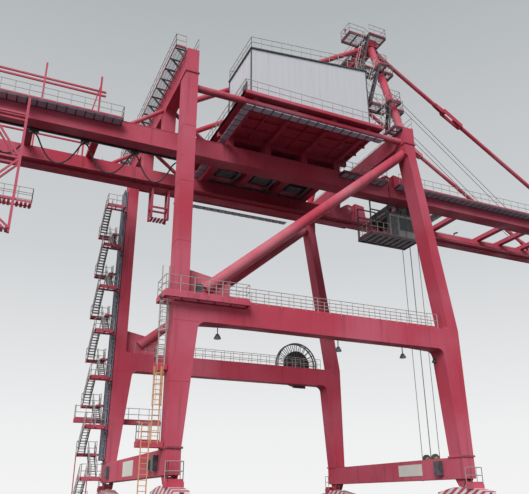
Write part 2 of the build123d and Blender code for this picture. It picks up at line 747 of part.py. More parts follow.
# Forestays. The upper link is a pair of flat bars on an apex lug, the lower link is one
# bar between two boom lugs, and they meet at a fold pin a third of the way down.
STAY_A = (APEX_BOX_X[1] + 0.22 * M, APEX_HEIGHT - 0.5 * M)
STAY_B = (STAY_LANDING, BOOM_TOP + 0.60 * M)
STAY_SLOPE = atan2(STAY_A[1] - STAY_B[1], STAY_B[0] - STAY_A[0])
FOLD = (
    STAY_A[0] + STAY_SHARE * (STAY_B[0] - STAY_A[0]),
    STAY_A[1] + STAY_SHARE * (STAY_B[1] - STAY_A[1]),
)
ACROSS = (STAY_BAR / 2 * sin(STAY_SLOPE), STAY_BAR / 2 * cos(STAY_SLOPE))
UPPER_BAR_Y = STAY_FORK_GAP / 2 + STAY_BAR_PLATE / 2
STAY_HOLE = STAY_PIN + 2 * PIN_CLEARANCE


def stay_bar(start, end, y, thickness):
    """A flat bar with round eyes between two pins."""
    side_plate(
        (
            (start[0] + ACROSS[0], start[1] + ACROSS[1]),
            (end[0] + ACROSS[0], end[1] + ACROSS[1]),
            (end[0] - ACROSS[0], end[1] - ACROSS[1]),
            (start[0] - ACROSS[0], start[1] - ACROSS[1]),
        ),
        span(y, thickness),
    )
    for pin in (start, end):
        side_pin(pin[0], y, pin[1], STAY_EYE, thickness)


with BuildPart() as forestay_upper_links:
    for y in both(GIRDER_Y):
        for way in (-1, 1):
            stay_bar(STAY_A, FOLD, y + way * UPPER_BAR_Y, STAY_BAR_PLATE)
        side_pin(STAY_A[0], y, STAY_A[1], STAY_HOLE, M, Mode.SUBTRACT)
        for way in (-1, 1):
            cap = y + way * (UPPER_BAR_Y + STAY_BAR_PLATE / 2 + 0.04 * M)
            side_pin(FOLD[0], cap, FOLD[1], STAY_PIN * 1.3, 0.08 * M)
write(forestay_upper_links.part, "forestay_upper_links")

with BuildPart() as forestay_lower_links:
    for y in both(GIRDER_Y):
        stay_bar(FOLD, STAY_B, y, STAY_LOWER_PLATE)
        side_pin(STAY_B[0], y, STAY_B[1], STAY_HOLE, M, Mode.SUBTRACT)
write(forestay_lower_links.part, "forestay_lower_links")

with BuildPart() as apex_stay_lugs:
    for y in both(GIRDER_Y):
        side_plate(
            (
                (APEX_BOX_X[1], STAY_A[1] - 0.16 * M),
                (STAY_A[0], STAY_A[1] - 0.18 * M),
                (STAY_A[0], STAY_A[1] + 0.18 * M),
                (APEX_BOX_X[1], APEX_BOX_Z[1] - 0.1 * M),
            ),
            span(y, LUG_PLATE),
        )
        side_pin(STAY_A[0], y, STAY_A[1], STAY_EYE, LUG_PLATE)
        side_pin(STAY_A[0], y, STAY_A[1], STAY_PIN, 2 * (UPPER_BAR_Y + STAY_BAR_PLATE))
    block(
        (APEX_BOX_X[0], APEX_BOX_X[1]),
        both(2 * GIRDER_Y),
        (APEX_BOX_Z[0] - M, APEX_BOX_Z[1]),
        Mode.SUBTRACT,
    )
write(apex_stay_lugs.part, "apex_stay_lugs")

with BuildPart() as boom_stay_lugs:
    for y in both(GIRDER_Y):
        for way in (-1, 1):
            lug_y = y + way * (STAY_LOWER_PLATE / 2 + LUG_PLATE / 2 + 0.04 * M)
            side_plate(
                (
                    (STAY_B[0] - 0.55 * M, BOOM_TOP),
                    (STAY_B[0] + 0.45 * M, BOOM_TOP),
                    (STAY_B[0] + 0.18 * M, STAY_B[1]),
                    (STAY_B[0] - 0.18 * M, STAY_B[1]),
                ),
                span(lug_y, LUG_PLATE),
            )
            side_pin(STAY_B[0], lug_y, STAY_B[1], STAY_EYE, LUG_PLATE)
        side_pin(STAY_B[0], y, STAY_B[1], STAY_PIN, STAY_LOWER_PLATE + 2 * LUG_PLATE + 0.16 * M)
write(boom_stay_lugs.part, "boom_stay_lugs")

# Machinery deck on the girders and on the tie pipes, and the house on its near side
with BuildPart() as machinery_deck:
    block(DECK_X, both(DECK_HALF), (DECK_BOTTOM, DECK_TOP))
    beam_z = (DECK_BOTTOM - DECK_BEAM, DECK_BOTTOM)
    reach = LEG_Y - TIE_PIPE / 2 - 0.1 * M
    for x in DECK_POSTS:
        block(span(x, 0.3 * M), both(reach), beam_z)
        for y in both(GIRDER_Y):
            block(span(x, TIE_WIDTH), span(y, 0.8 * M), (GIRDER_TOP + TIE_HEIGHT, DECK_BOTTOM))
    for y in both(GIRDER_Y):
        block(DECK_X, span(y, DECK_LONG_BEAM), beam_z)
    for x in DECK_POSTS:
        for y in both(LEG_Y):
            block(span(x, 0.4 * M), span(y, 0.5 * M), (TIE_PIPE_Z, DECK_BOTTOM))
            pipe((DECK_X[0], y, TIE_PIPE_Z), (DECK_X[1], y, TIE_PIPE_Z), TIE_PIPE + 2 * RUN_CLEARANCE, Mode.SUBTRACT)
            block(span(x, M), span(y, 2 * M), (TIE_PIPE_Z - M, TIE_PIPE_Z + 0.12 * M), Mode.SUBTRACT)
write(machinery_deck.part, "machinery_deck")

with BuildPart() as machinery_house:
    side_plate(
        (
            (HOUSE_X[0], DECK_TOP),
            (HOUSE_X[1], DECK_TOP),
            (HOUSE_X[1], DECK_TOP + HOUSE_HIGH),
            (HOUSE_X[0], DECK_TOP + HOUSE_LOW),
        ),
        HOUSE_Y,
    )
write(machinery_house.part, "machinery_house")

ROOF_RISE = (HOUSE_HIGH - HOUSE_LOW) / (HOUSE_X[1] - HOUSE_X[0]) * ROOF_EAVE
with BuildPart() as house_roof:
    side_plate(
        (
            (HOUSE_X[0] - ROOF_EAVE, DECK_TOP + HOUSE_LOW - ROOF_RISE),
            (HOUSE_X[1] + ROOF_EAVE, DECK_TOP + HOUSE_HIGH + ROOF_RISE),
            (HOUSE_X[1] + ROOF_EAVE, DECK_TOP + HOUSE_HIGH + ROOF_RISE + ROOF_THICKNESS),
            (HOUSE_X[0] - ROOF_EAVE, DECK_TOP + HOUSE_LOW - ROOF_RISE + ROOF_THICKNESS),
        ),
        (HOUSE_Y[0] - ROOF_EAVE, HOUSE_Y[1] + ROOF_EAVE),
    )
write(house_roof.part, "house_roof")

# Trolley between the boom girders, with its wheels on the runway rails
WHEEL_Z = RAIL_TOP + RUN_CLEARANCE + WHEEL_DIAMETER / 2
TROLLEY_Z = (TROLLEY_BOTTOM, TROLLEY_BOTTOM + TROLLEY_BEAM)
TROLLEY_SIDE_Y = TROLLEY_HALF - TROLLEY_BEAM / 2
TROLLEY_CROSS_X = [
    TROLLEY_X + offset
    for offset in (*both(TROLLEY_LENGTH / 2 - TROLLEY_BEAM / 2), *both(SHEAVE_BAY / 2))
]
with BuildPart() as trolley_frame:
    for y in both(TROLLEY_SIDE_Y):
        block(span(TROLLEY_X, TROLLEY_LENGTH), span(y, TROLLEY_BEAM), TROLLEY_Z)
    for x in TROLLEY_CROSS_X:
        block(span(x, TROLLEY_BEAM), both(TROLLEY_SIDE_Y), TROLLEY_Z)
write(trolley_frame.part, "trolley_frame")

with BuildPart() as trolley_wheels:
    for x in both(WHEEL_BASE / 2):
        for side in (-1, 1):
            centre = (TROLLEY_X + x, side * RAIL_Y, WHEEL_Z)
            side_pin(*centre, WHEEL_DIAMETER, WHEEL_WIDTH)
            hub = side * (RAIL_Y + WHEEL_WIDTH / 2 + WHEEL_HUB)
            pipe((centre[0], side * TROLLEY_HALF, WHEEL_Z), (centre[0], hub, WHEEL_Z), WHEEL_AXLE)
write(trolley_wheels.part, "trolley_wheels")

# Sheave carrier: two beams between the inner cross beams, with cheek plates that hold
# the shaft about which the hoist ropes swing
CHEEK_Y = SHEAVE_WIDTH / 2 + SHEAVE_SIDE + CHEEK / 2
with BuildPart() as sheave_carrier:
    for y in both(ROPE_Y):
        block(
            span(TROLLEY_X, SHEAVE_BAY - TROLLEY_BEAM),
            span(y, 2 * CHEEK_Y + CHEEK),
            TROLLEY_Z,
        )
        for way in (-1, 1):
            cheek = y + way * CHEEK_Y
            side_plate(
                (
                    (TROLLEY_X - 0.45 * M, TROLLEY_BOTTOM),
                    (TROLLEY_X + 0.45 * M, TROLLEY_BOTTOM),
                    (TROLLEY_X + 0.16 * M, SWING_Z),
                    (TROLLEY_X - 0.16 * M, SWING_Z),
                ),
                span(cheek, CHEEK),
            )
            side_pin(TROLLEY_X, cheek, SWING_Z, 0.32 * M, CHEEK)
    side_pin(TROLLEY_X, 0, SWING_Z, SHEAVE_SHAFT, 2 * (ROPE_Y + CHEEK_Y + CHEEK))
write(sheave_carrier.part, "sheave_carrier")

# Cab under the landward end of the trolley, clear of the ropes as they swing
CAB_TOP = CAB_FLOOR + CAB_HEIGHT
with BuildPart() as operator_cab:
    block(CAB_X, CAB_Y, (CAB_FLOOR, CAB_TOP))
write(operator_cab.part, "operator_cab")

with BuildPart() as cab_hangers:
    for x in (TROLLEY_CROSS_X[0], TROLLEY_CROSS_X[2] - 0.12 * M):
        for y in (-TROLLEY_SIDE_Y, CAB_Y[1] - 0.15 * M):
            block(span(x, CAB_HANGER), span(y, CAB_HANGER), (CAB_TOP, TROLLEY_BOTTOM))
write(cab_hangers.part, "cab_hangers")

with BuildPart() as cab_platform:
    block(
        (CAB_X[0] - 2.2 * M, CAB_X[1] + 0.1 * M),
        (CAB_Y[0] - 0.1 * M, CAB_Y[1] + 0.1 * M),
        (CAB_FLOOR - 0.14 * M, CAB_FLOOR),
    )
write(cab_platform.part, "cab_platform")

# Hoist ropes: they leave the trolley's sheaves on both sides and reach the head block's
ROPE_X = (SHEAVE + ROPE) / 2 + PIN_CLEARANCE
with BuildPart() as hoist_sheaves:
    for y in both(ROPE_Y):
        side_pin(TROLLEY_X, y, SWING_Z, SHEAVE, SHEAVE_WIDTH)
    side_pin(TROLLEY_X, 0, SWING_Z, SHEAVE_SHAFT + 2 * PIN_CLEARANCE, 4 * ROPE_Y, Mode.SUBTRACT)
write(hoist_sheaves.part, "hoist_sheaves")

with BuildPart() as hoist_ropes:
    for x in both(ROPE_X):
        for y in both(ROPE_Y):
            pipe((TROLLEY_X + x, y, HEADBLOCK_AXLE), (TROLLEY_X + x, y, SWING_Z), ROPE)
write(hoist_ropes.part, "hoist_ropes")

with BuildPart() as head_block:
    block(
        span(TROLLEY_X, HEADBLOCK_WIDTH),
        both(HEADBLOCK_LENGTH / 2),
        (HEADBLOCK_BOTTOM, HEADBLOCK_BOTTOM + HEADBLOCK_DEPTH),
    )
    for y in both(ROPE_Y):
        for way in (-1, 1):
            cheek = y + way * CHEEK_Y
            side_plate(
                (
                    (TROLLEY_X - 0.60 * M, HEADBLOCK_BOTTOM + HEADBLOCK_DEPTH),
                    (TROLLEY_X + 0.60 * M, HEADBLOCK_BOTTOM + HEADBLOCK_DEPTH),
                    (TROLLEY_X + 0.20 * M, HEADBLOCK_AXLE),
                    (TROLLEY_X - 0.20 * M, HEADBLOCK_AXLE),
                ),
                span(cheek, CHEEK),
            )
            side_pin(TROLLEY_X, cheek, HEADBLOCK_AXLE, 0.40 * M, CHEEK)
    bore = SHEAVE_SHAFT + 2 * PIN_CLEARANCE
    side_pin(TROLLEY_X, 0, HEADBLOCK_AXLE, bore, 4 * ROPE_Y, Mode.SUBTRACT)
write(head_block.part, "head_block")

with BuildPart() as headblock_sheaves:
    for y in both(ROPE_Y):
        side_pin(TROLLEY_X, y, HEADBLOCK_AXLE, SHEAVE, SHEAVE_WIDTH)
        side_pin(TROLLEY_X, y, HEADBLOCK_AXLE, SHEAVE_SHAFT, 2 * (CHEEK_Y + CHEEK))
write(headblock_sheaves.part, "headblock_sheaves")

SPREADER_Z = (SPREADER_BOTTOM + TWISTLOCK, SPREADER_BOTTOM + TWISTLOCK + SPREADER_DEPTH)
with BuildPart() as spreader:
    block(span(TROLLEY_X, 0.9 * M), both(SPREADER_LENGTH / 2), SPREADER_Z)
    for y in both(SPREADER_LENGTH / 2 - 0.15 * M):
        block(span(TROLLEY_X, SPREADER_WIDTH), span(y, 0.3 * M), SPREADER_Z)
        for x in both(SPREADER_WIDTH / 2 - 0.09 * M):
            corner_x = span(TROLLEY_X + x, 0.18 * M)
            block(corner_x, span(y, 0.18 * M), (SPREADER_BOTTOM, SPREADER_Z[1]))
    block(span(TROLLEY_X, 1.5 * M), both(M), (SPREADER_Z[0], HEADBLOCK_BOTTOM))
write(spreader.part, "spreader")

# Buffers on the outer ends of the wheel assemblies, past the last wheel's rim
LAST_AXLE = LEG_Y + TRUCK_OFFSETS[-1] + WHEEL_PITCH / 2
BUFFER_FOOT = LAST_AXLE + RAIL_WHEEL / 2 + BUFFER_GAP
BUFFER_END = BUFFER_FOOT + BUFFER_PLATE + BUFFER_LENGTH
BUFFER_ARM_Z = (RAIL_WHEEL / 2 + AXLE / 2 + BUFFER_GAP, RAIL_WHEEL / 2 + AXLE / 2 + 0.30 * M)
with BuildPart() as rail_buffers:
    for x, y in CORNERS:
        way = 1 if y > 0 else -1
        for side in (-1, 1):
            arm = sorted(side * (TRUCK_HALF_WIDTH + reach) for reach in (0, BUFFER_ARM))
            along = sorted((way * (LAST_AXLE - 0.45 * M), way * BUFFER_FOOT))
            block((x + arm[0], x + arm[1]), along, BUFFER_ARM_Z)
        plate = sorted((way * BUFFER_FOOT, way * (BUFFER_FOOT + BUFFER_PLATE)))
        block(span(x, 2 * (TRUCK_HALF_WIDTH + BUFFER_ARM)), plate, span(BUFFER_Z, 0.5 * M))
        pipe(
            (x, way * (BUFFER_FOOT + BUFFER_PLATE), BUFFER_Z),
            (x, way * BUFFER_END, BUFFER_Z),
            BUFFER,
        )
write(rail_buffers.part, "rail_buffers")

# Boom hoist ropes from the apex beam to a tie of the boom
BOOM_ROPE_TOP = BOOM_TOP + TIE_HEIGHT
with BuildPart() as boom_hoist_ropes:
    for y in BOOM_ROPE_Y:
        pipe((APEX_X, y, APEX_HEIGHT), (BOOM_ROPE_X, y, BOOM_ROPE_TOP - 0.1 * M), ROPE)
    block(APEX_BOX_X, both(GIRDER_Y), (APEX_BOX_Z[0] - M, APEX_BOX_Z[1]), Mode.SUBTRACT)
    block(
        span(BOOM_ROPE_X, 2 * M),
        both(GIRDER_Y),
        (BOOM_TOP - M, BOOM_ROPE_TOP),
        Mode.SUBTRACT,
    )
write(boom_hoist_ropes.part, "boom_hoist_ropes")
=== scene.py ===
import json
import math

import bpy
import numpy as np
from bpy.props import FloatProperty, FloatVectorProperty, PointerProperty
from mathutils import Matrix, Vector


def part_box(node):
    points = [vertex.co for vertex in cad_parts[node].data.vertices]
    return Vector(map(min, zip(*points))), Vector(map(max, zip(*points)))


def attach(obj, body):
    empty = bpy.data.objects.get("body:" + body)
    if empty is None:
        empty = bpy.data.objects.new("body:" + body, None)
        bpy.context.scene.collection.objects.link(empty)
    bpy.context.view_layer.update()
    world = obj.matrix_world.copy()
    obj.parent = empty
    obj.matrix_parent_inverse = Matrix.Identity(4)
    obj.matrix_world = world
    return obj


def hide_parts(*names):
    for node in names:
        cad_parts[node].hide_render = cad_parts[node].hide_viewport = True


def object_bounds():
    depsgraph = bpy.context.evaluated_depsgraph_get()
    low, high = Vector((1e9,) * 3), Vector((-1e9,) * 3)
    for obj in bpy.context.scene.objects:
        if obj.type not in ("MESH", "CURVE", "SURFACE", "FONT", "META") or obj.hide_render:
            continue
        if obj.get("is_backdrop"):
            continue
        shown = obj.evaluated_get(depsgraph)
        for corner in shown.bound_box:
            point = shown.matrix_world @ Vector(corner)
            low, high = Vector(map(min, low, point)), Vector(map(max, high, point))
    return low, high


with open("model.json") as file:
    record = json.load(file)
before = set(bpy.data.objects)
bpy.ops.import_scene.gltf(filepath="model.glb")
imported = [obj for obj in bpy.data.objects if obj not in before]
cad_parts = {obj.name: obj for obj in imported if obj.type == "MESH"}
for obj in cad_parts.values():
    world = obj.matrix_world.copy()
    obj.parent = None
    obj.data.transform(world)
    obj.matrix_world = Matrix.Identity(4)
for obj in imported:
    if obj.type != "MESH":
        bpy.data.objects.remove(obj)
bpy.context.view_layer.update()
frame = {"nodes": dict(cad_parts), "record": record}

bl_info = {
    "name": "Quay crane finish",
    "version": (1, 0, 0),
    "blender": (4, 5, 0),
    "location": "3D View > Sidebar > Crane",
    "description": "Walkways, rails, stairs, cables and paint of a ship-to-shore crane, round its frame",
    "category": "Object",
}

# Model metres for each metre of the real crane
REAL = 0.1


def real(*values):
    """Real metres of the crane as a point or list of sizes of the model."""
    return np.array(values, float) * REAL


class CranePaint(bpy.types.PropertyGroup):
    """Colours of the crane's finishes."""

    red: FloatVectorProperty(
        name="Red enamel", description="Paint of the steelwork", subtype="COLOR",
        default=(0.475, 0.057, 0.092), min=0, max=1,
    )
    faded: FloatVectorProperty(
        name="Faded enamel", description="Red where sun and salt have bleached it", subtype="COLOR",
        default=(0.57, 0.135, 0.190), min=0, max=1,
    )
    grime: FloatVectorProperty(
        name="Grime", description="Dirt that runs down the plates", subtype="COLOR",
        default=(0.10, 0.022, 0.026), min=0, max=1,
    )
    house: FloatVectorProperty(
        name="House sheet", description="Cladding of the machinery house", subtype="COLOR",
        default=(0.57, 0.58, 0.61), min=0, max=1,
    )
    cab: FloatVectorProperty(
        name="Cab paint", description="Panels of the driver's cab", subtype="COLOR",
        default=(0.20, 0.205, 0.185), min=0, max=1,
    )
    rails: FloatVectorProperty(
        name="Handrails", description="Galvanised handrails and posts", subtype="COLOR",
        default=(0.36, 0.36, 0.33), min=0, max=1,
    )
    grating: FloatVectorProperty(
        name="Grating", description="Open steel flooring", subtype="COLOR",
        default=(0.055, 0.045, 0.055), min=0, max=1,
    )
    ladder: FloatVectorProperty(
        name="Ladders", description="Warning paint of ladders and cages", subtype="COLOR",
        default=(0.62, 0.33, 0.16), min=0, max=1,
    )
    machine: FloatVectorProperty(
        name="Machine grey", description="Paint of drums, sheaves and lamps", subtype="COLOR",
        default=(0.045, 0.047, 0.055), min=0, max=1,
    )
    spreader: FloatVectorProperty(
        name="Spreader yellow", description="Paint of the head block and the spreader", subtype="COLOR",
        default=(0.62, 0.33, 0.035), min=0, max=1,
    )


class CraneSizes(bpy.types.PropertyGroup):
    """Sizes of the crane's light steelwork, in metres of the model."""

    rail_height: FloatProperty(
        name="Rail height", description="Height of the top handrail over the deck",
        default=1.10 * REAL, min=0.01, subtype="DISTANCE", unit="LENGTH",
    )
    rail_size: FloatProperty(
        name="Rail size", description="Diameter of handrails and posts",
        default=0.045 * REAL, min=0.001, subtype="DISTANCE", unit="LENGTH",
    )
    post_pitch: FloatProperty(
        name="Post pitch", description="Distance from one rail post to the next",
        default=1.0 * REAL, min=0.01, subtype="DISTANCE", unit="LENGTH",
    )
    grate_pitch: FloatProperty(
        name="Grating pitch", description="Distance between the bearing bars of the open flooring",
        default=0.13 * REAL, min=0.001, subtype="DISTANCE", unit="LENGTH",
    )
    tread_pitch: FloatProperty(
        name="Tread pitch", description="Rise from one tread of the apex stairs to the next",
        default=0.24 * REAL, min=0.005, subtype="DISTANCE", unit="LENGTH",
    )


class CraneView(bpy.types.PropertyGroup):
    """The camera's place, in the frame of the crane."""

    place: FloatVectorProperty(
        name="Place", description="Where the camera stands", default=(-1.1008, -4.6313, 0.16),
        subtype="TRANSLATION", unit="LENGTH",
    )
    heading: FloatProperty(
        name="Heading", description="Turn of the view from +Y towards +X",
        default=math.radians(24.688), subtype="ANGLE", unit="ROTATION",
    )
    tilt: FloatProperty(
        name="Tilt", description="How far the view looks up",
        default=math.radians(22.199), subtype="ANGLE", unit="ROTATION",
    )
    roll: FloatProperty(
        name="Roll", description="Turn of the picture about its middle",
        default=math.radians(-0.256), subtype="ANGLE", unit="ROTATION",
    )
    lens: FloatProperty(
        name="Lens", description="Focal length on a 36 mm wide sensor, in millimetres",
        default=42.093, min=1, subtype="DISTANCE_CAMERA",
    )


class Steelwork:
    """Closed shapes of one piece, kept as arrays of points and faces until they become a mesh."""

    def __init__(self):
        self.points = []
        self.faces = []
        self.count = 0

    def add(self, points, faces):
        """Append points and the faces that join them; all faces of a call have as many corners."""
        points = np.asarray(points, float).reshape(-1, 3)
        self.points.append(points)
        self.faces.append(np.asarray(faces, int) + self.count)
        self.count += len(points)

    def prisms(self, rings_a, rings_b):
        """Solids between two like rings of corners, each an array of solid, corner and axis.

        Side i joins corners i and i + 1 of both rings; the two rings themselves close the ends."""
        solids, sides, _ = rings_a.shape
        base = (np.arange(solids) * 2 * sides)[:, None]
        i = np.arange(sides)
        j = (i + 1) % sides
        quads = np.stack([i, j, j + sides, i + sides], axis=1)
        points = np.concatenate([rings_a, rings_b], axis=1)
        start = self.count
        self.add(points, (base[:, :, None] + quads[None]).reshape(-1, 4))
        ends = np.concatenate([base + i[::-1], base + i + sides])
        self.faces.append(ends + start)

    def bars(self, starts, ends, width, depth=None, sides=4):
        """Straight bars: ring corners lie at equal turns about the line from start to end.

        The corner at turn t is width / 2 times cos t to the side and depth / 2 times sin t
        upwards, stretched so that the flats, not the corners, stand at those distances."""
        a = np.asarray(starts, float).reshape(-1, 3)
        b = np.asarray(ends, float).reshape(-1, 3)
        depth = width if depth is None else depth
        along = b - a
        along /= np.linalg.norm(along, axis=1, keepdims=True)
        steep = np.abs(along[:, 2:3]) > 0.98
        up = np.where(steep, [[1.0, 0, 0]], [[0, 0, 1.0]])
        side = np.cross(up, along)
        side /= np.linalg.norm(side, axis=1, keepdims=True)
        top = np.cross(along, side)
        turn = (np.arange(sides) + 0.5) / sides * 2 * math.pi
        stretch = 0.5 / math.cos(math.pi / sides)
        ring = (
            side[:, None, :] * (np.cos(turn) * width * stretch)[None, :, None]
            + top[:, None, :] * (np.sin(turn) * depth * stretch)[None, :, None]
        )
        self.prisms(a[:, None, :] + ring, b[:, None, :] + ring)

    def boxes(self, lows, highs):
        """Upright boxes between low and high corners."""
        low = np.asarray(lows, float).reshape(-1, 3)
        high = np.asarray(highs, float).reshape(-1, 3)
        x = np.stack([low[:, 0], high[:, 0], high[:, 0], low[:, 0]], axis=1)
        y = np.stack([low[:, 1], low[:, 1], high[:, 1], high[:, 1]], axis=1)
        foot = np.stack([x, y, np.repeat(low[:, 2:3], 4, axis=1)], axis=2)
        head = foot.copy()
        head[:, :, 2] = high[:, 2:3]
        self.prisms(foot, head)

    def plate(self, outline, offset):
        """A flat outline made solid along an offset.

        The sum of the cross products of its corners says which way it turns; one that turns
        right about the offset is taken backwards."""
        ring = np.asarray(outline, float)
        offset = np.asarray(offset, float)
        if np.cross(ring - ring[0], np.roll(ring, -1, axis=0) - ring[0]).sum(axis=0) @ offset < 0:
            ring = ring[::-1]
        self.prisms(ring[None], ring[None] + offset)

    def turned(self, profile, centre, axis, steps=24):
        """A surface of revolution: each (radius, height) goes round the axis at equal steps.

        The first and last radius are 0 or the profile ends where it began, so it is closed."""
        axis = np.asarray(axis, float) / np.linalg.norm(axis)
        other = np.array([0, 0, 1.0]) if abs(axis[2]) < 0.9 else np.array([1.0, 0, 0])
        side = np.cross(other, axis)
        side /= np.linalg.norm(side)
        top = np.cross(axis, side)
        turn = np.arange(steps) / steps * 2 * math.pi
        spoke = side[None] * np.cos(turn)[:, None] + top[None] * np.sin(turn)[:, None]
        profile = np.asarray(profile, float)
        grid = (
            np.asarray(centre, float)
            + spoke[None] * profile[:, None, None, 0]
            + axis * profile[:, None, None, 1]
        )
        rows = len(profile)
        i = np.arange(rows - 1)[:, None] * steps
        j = np.arange(steps)[None]
        k = (j + 1) % steps
        quads = np.stack([i + j, i + k, i + steps + k, i + steps + j], axis=2)
        self.add(grid, quads.reshape(-1, 4))

    def tube(self, path, width, sides=6):
        """A tube along a line of points: each point's ring is square to the mean of its two runs."""
        path = np.asarray(path, float)
        run = np.gradient(path, axis=0)
        run /= np.linalg.norm(run, axis=1, keepdims=True)
        up = np.where(np.abs(run[:, 2:3]) > 0.9, [[0, 1.0, 0]], [[0, 0, 1.0]])
        side = np.cross(up, run)
        side /= np.linalg.norm(side, axis=1, keepdims=True)
        top = np.cross(run, side)
        turn = np.arange(sides) / sides * 2 * math.pi
        ring = (
            side[:, None] * np.cos(turn)[None, :, None]
            + top[:, None] * np.sin(turn)[None, :, None]
        ) * (width / 2)
        rows = len(path)
        i = np.arange(rows - 1)[:, None] * sides
        j = np.arange(sides)[None]
        k = (j + 1) % sides
        quads = np.stack([i + j, i + k, i + sides + k, i + sides + j], axis=2)
        start = self.count
        self.add(path[:, None] + ring, quads.reshape(-1, 4))
        ends = np.stack([np.arange(sides)[::-1], np.arange(sides) + (rows - 1) * sides])
        self.faces.append(ends + start)

    def piece(self, name, body, finish, slot, replaces=()):
        """Make the mesh and its object, paint it and let it ride on a body."""
        mesh = bpy.data.meshes.new(name)
        points = np.concatenate(self.points)
        corners = np.concatenate([f.ravel() for f in self.faces])
        sizes = np.concatenate([np.full(len(f), f.shape[1]) for f in self.faces])
        mesh.vertices.add(len(points))
        mesh.vertices.foreach_set("co", points.astype(np.float32).ravel())
        mesh.loops.add(len(corners))
        mesh.loops.foreach_set("vertex_index", corners.astype(np.int32))
        mesh.polygons.add(len(sizes))
        starts = np.concatenate([[0], np.cumsum(sizes)[:-1]])
        mesh.polygons.foreach_set("loop_start", starts.astype(np.int32))
        mesh.update(calc_edges=True)
        mesh.validate()
        mesh.shade_smooth()
        mesh.set_sharp_from_angle(angle=math.radians(35))
        mesh.materials.append(finish)
        made = bpy.data.objects.new(name, mesh)
        bpy.context.scene.collection.objects.link(made)
        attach(made, body)
        if replaces:
            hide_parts(*replaces)
        return made


class Rails(Steelwork):
    """Handrails, with the kick plates at their feet kept apart because they are painted red."""

    def __init__(self):
        super().__init__()
        self.kicks = Steelwork()

    def pieces(self, name, body):
        """The handrails as one piece and the kick plates as another."""
        self.piece(name, body, FINISHES["handrail"], "grating")
        self.kicks.piece(f"{name}_kick_plates", body, FINISHES["crane_red"], "crane_red")


class Finish:
    """A node material, built up by short calls."""

    def __init__(self, name):
        self.material = bpy.data.materials.new(name)
        self.material.use_nodes = True
        self.tree = self.material.node_tree
        self.tree.nodes.clear()
        self.shader = self.node("ShaderNodeBsdfPrincipled")
        self.output = self.node("ShaderNodeOutputMaterial")
        self.link(self.shader.outputs["BSDF"], self.output.inputs["Surface"])
        self.place = self.node("ShaderNodeTexCoord").outputs["Object"]

    def node(self, kind, **settings):
        made = self.tree.nodes.new(kind)
        for key, value in settings.items():
            setattr(made, key, value)
        return made

    def link(self, a, b):
        self.tree.links.new(a, b)

    def fix(self, **values):
        """Set the shader's own sockets, named with underscores for spaces."""
        for key, value in values.items():
            self.shader.inputs[key.replace("_", " ")].default_value = value

    def noise(self, scale, detail=4.0, stretch=(1, 1, 1)):
        """Noise on the piece's own coordinates, stretched along an axis."""
        mapping = self.node("ShaderNodeMapping")
        mapping.inputs["Scale"].default_value = stretch
        self.link(self.place, mapping.inputs["Vector"])
        texture = self.node("ShaderNodeTexNoise")
        texture.inputs["Scale"].default_value = scale
        texture.inputs["Detail"].default_value = detail
        self.link(mapping.outputs["Vector"], texture.inputs["Vector"])
        return texture.outputs["Fac"]

    def ramp(self, factor, low, high, start=0.0, end=1.0):
        """A factor spread from start to end between two of its values."""
        spread = self.node("ShaderNodeMapRange")
        spread.interpolation_type = "SMOOTHSTEP"
        for key, value in (("From Min", low), ("From Max", high), ("To Min", start), ("To Max", end)):
            spread.inputs[key].default_value = value
        self.link(factor, spread.inputs["Value"])
        return spread.outputs["Result"]

    def mix(self, factor, a, b):
        """Two colours, or links to colours, mixed by a factor."""
        blend = self.node("ShaderNodeMix", data_type="RGBA")
        self.link(factor, blend.inputs["Factor"])
        for socket, value in ((blend.inputs["A"], a), (blend.inputs["B"], b)):
            self.colour(socket, value)
        return blend.outputs["Result"]

    def colour(self, socket, value):
        if isinstance(value, bpy.types.NodeSocket):
            self.link(value, socket)
        else:
            socket.default_value = (*value, 1.0)

    def maths(self, operation, a, b):
        """One maths step; each side is a number or a link."""
        step = self.node("ShaderNodeMath", operation=operation)
        for socket, value in zip(step.inputs, (a, b)):
            if isinstance(value, bpy.types.NodeSocket):
                self.link(value, socket)
            else:
                socket.default_value = value
        return step.outputs["Value"]

    def bump(self, height, distance, strength=1.0):
        relief = self.node("ShaderNodeBump")
        relief.inputs["Distance"].default_value = distance
        relief.inputs["Strength"].default_value = strength
        self.link(height, relief.inputs["Height"])
        self.link(relief.outputs["Normal"], self.shader.inputs["Normal"])

    def done(self, base):
        self.colour(self.shader.inputs["Base Color"], base)
        return self.material


RUST = (0.16, 0.05, 0.03)


def enamel(name, colour, faded, grime, dirt=0.35, rough=0.42):
    """Machine paint: bleached patches, dirt that runs down, small rust specks and wavy plate."""
    finish = Finish(name)
    patches = finish.ramp(finish.noise(1.3, 5), 0.38, 0.66, 0.0, 0.75)
    base = finish.mix(patches, colour, faded)
    runs = finish.ramp(finish.noise(1.0, 6, (22, 22, 1.6)), 0.52, 0.78, 0.0, dirt)
    base = finish.mix(runs, base, grime)
    specks = finish.ramp(finish.noise(38, 3), 0.70, 0.76, 0.0, 0.6)
    base = finish.mix(specks, base, RUST)
    shine = finish.ramp(finish.noise(4, 3), 0.3, 0.7, rough + 0.08, rough + 0.30)
    finish.link(shine, finish.shader.inputs["Roughness"])
    finish.bump(finish.noise(2.2, 2), 0.004, 0.35)
    finish.fix(Specular_IOR_Level=0.10)
    return finish.done(base)


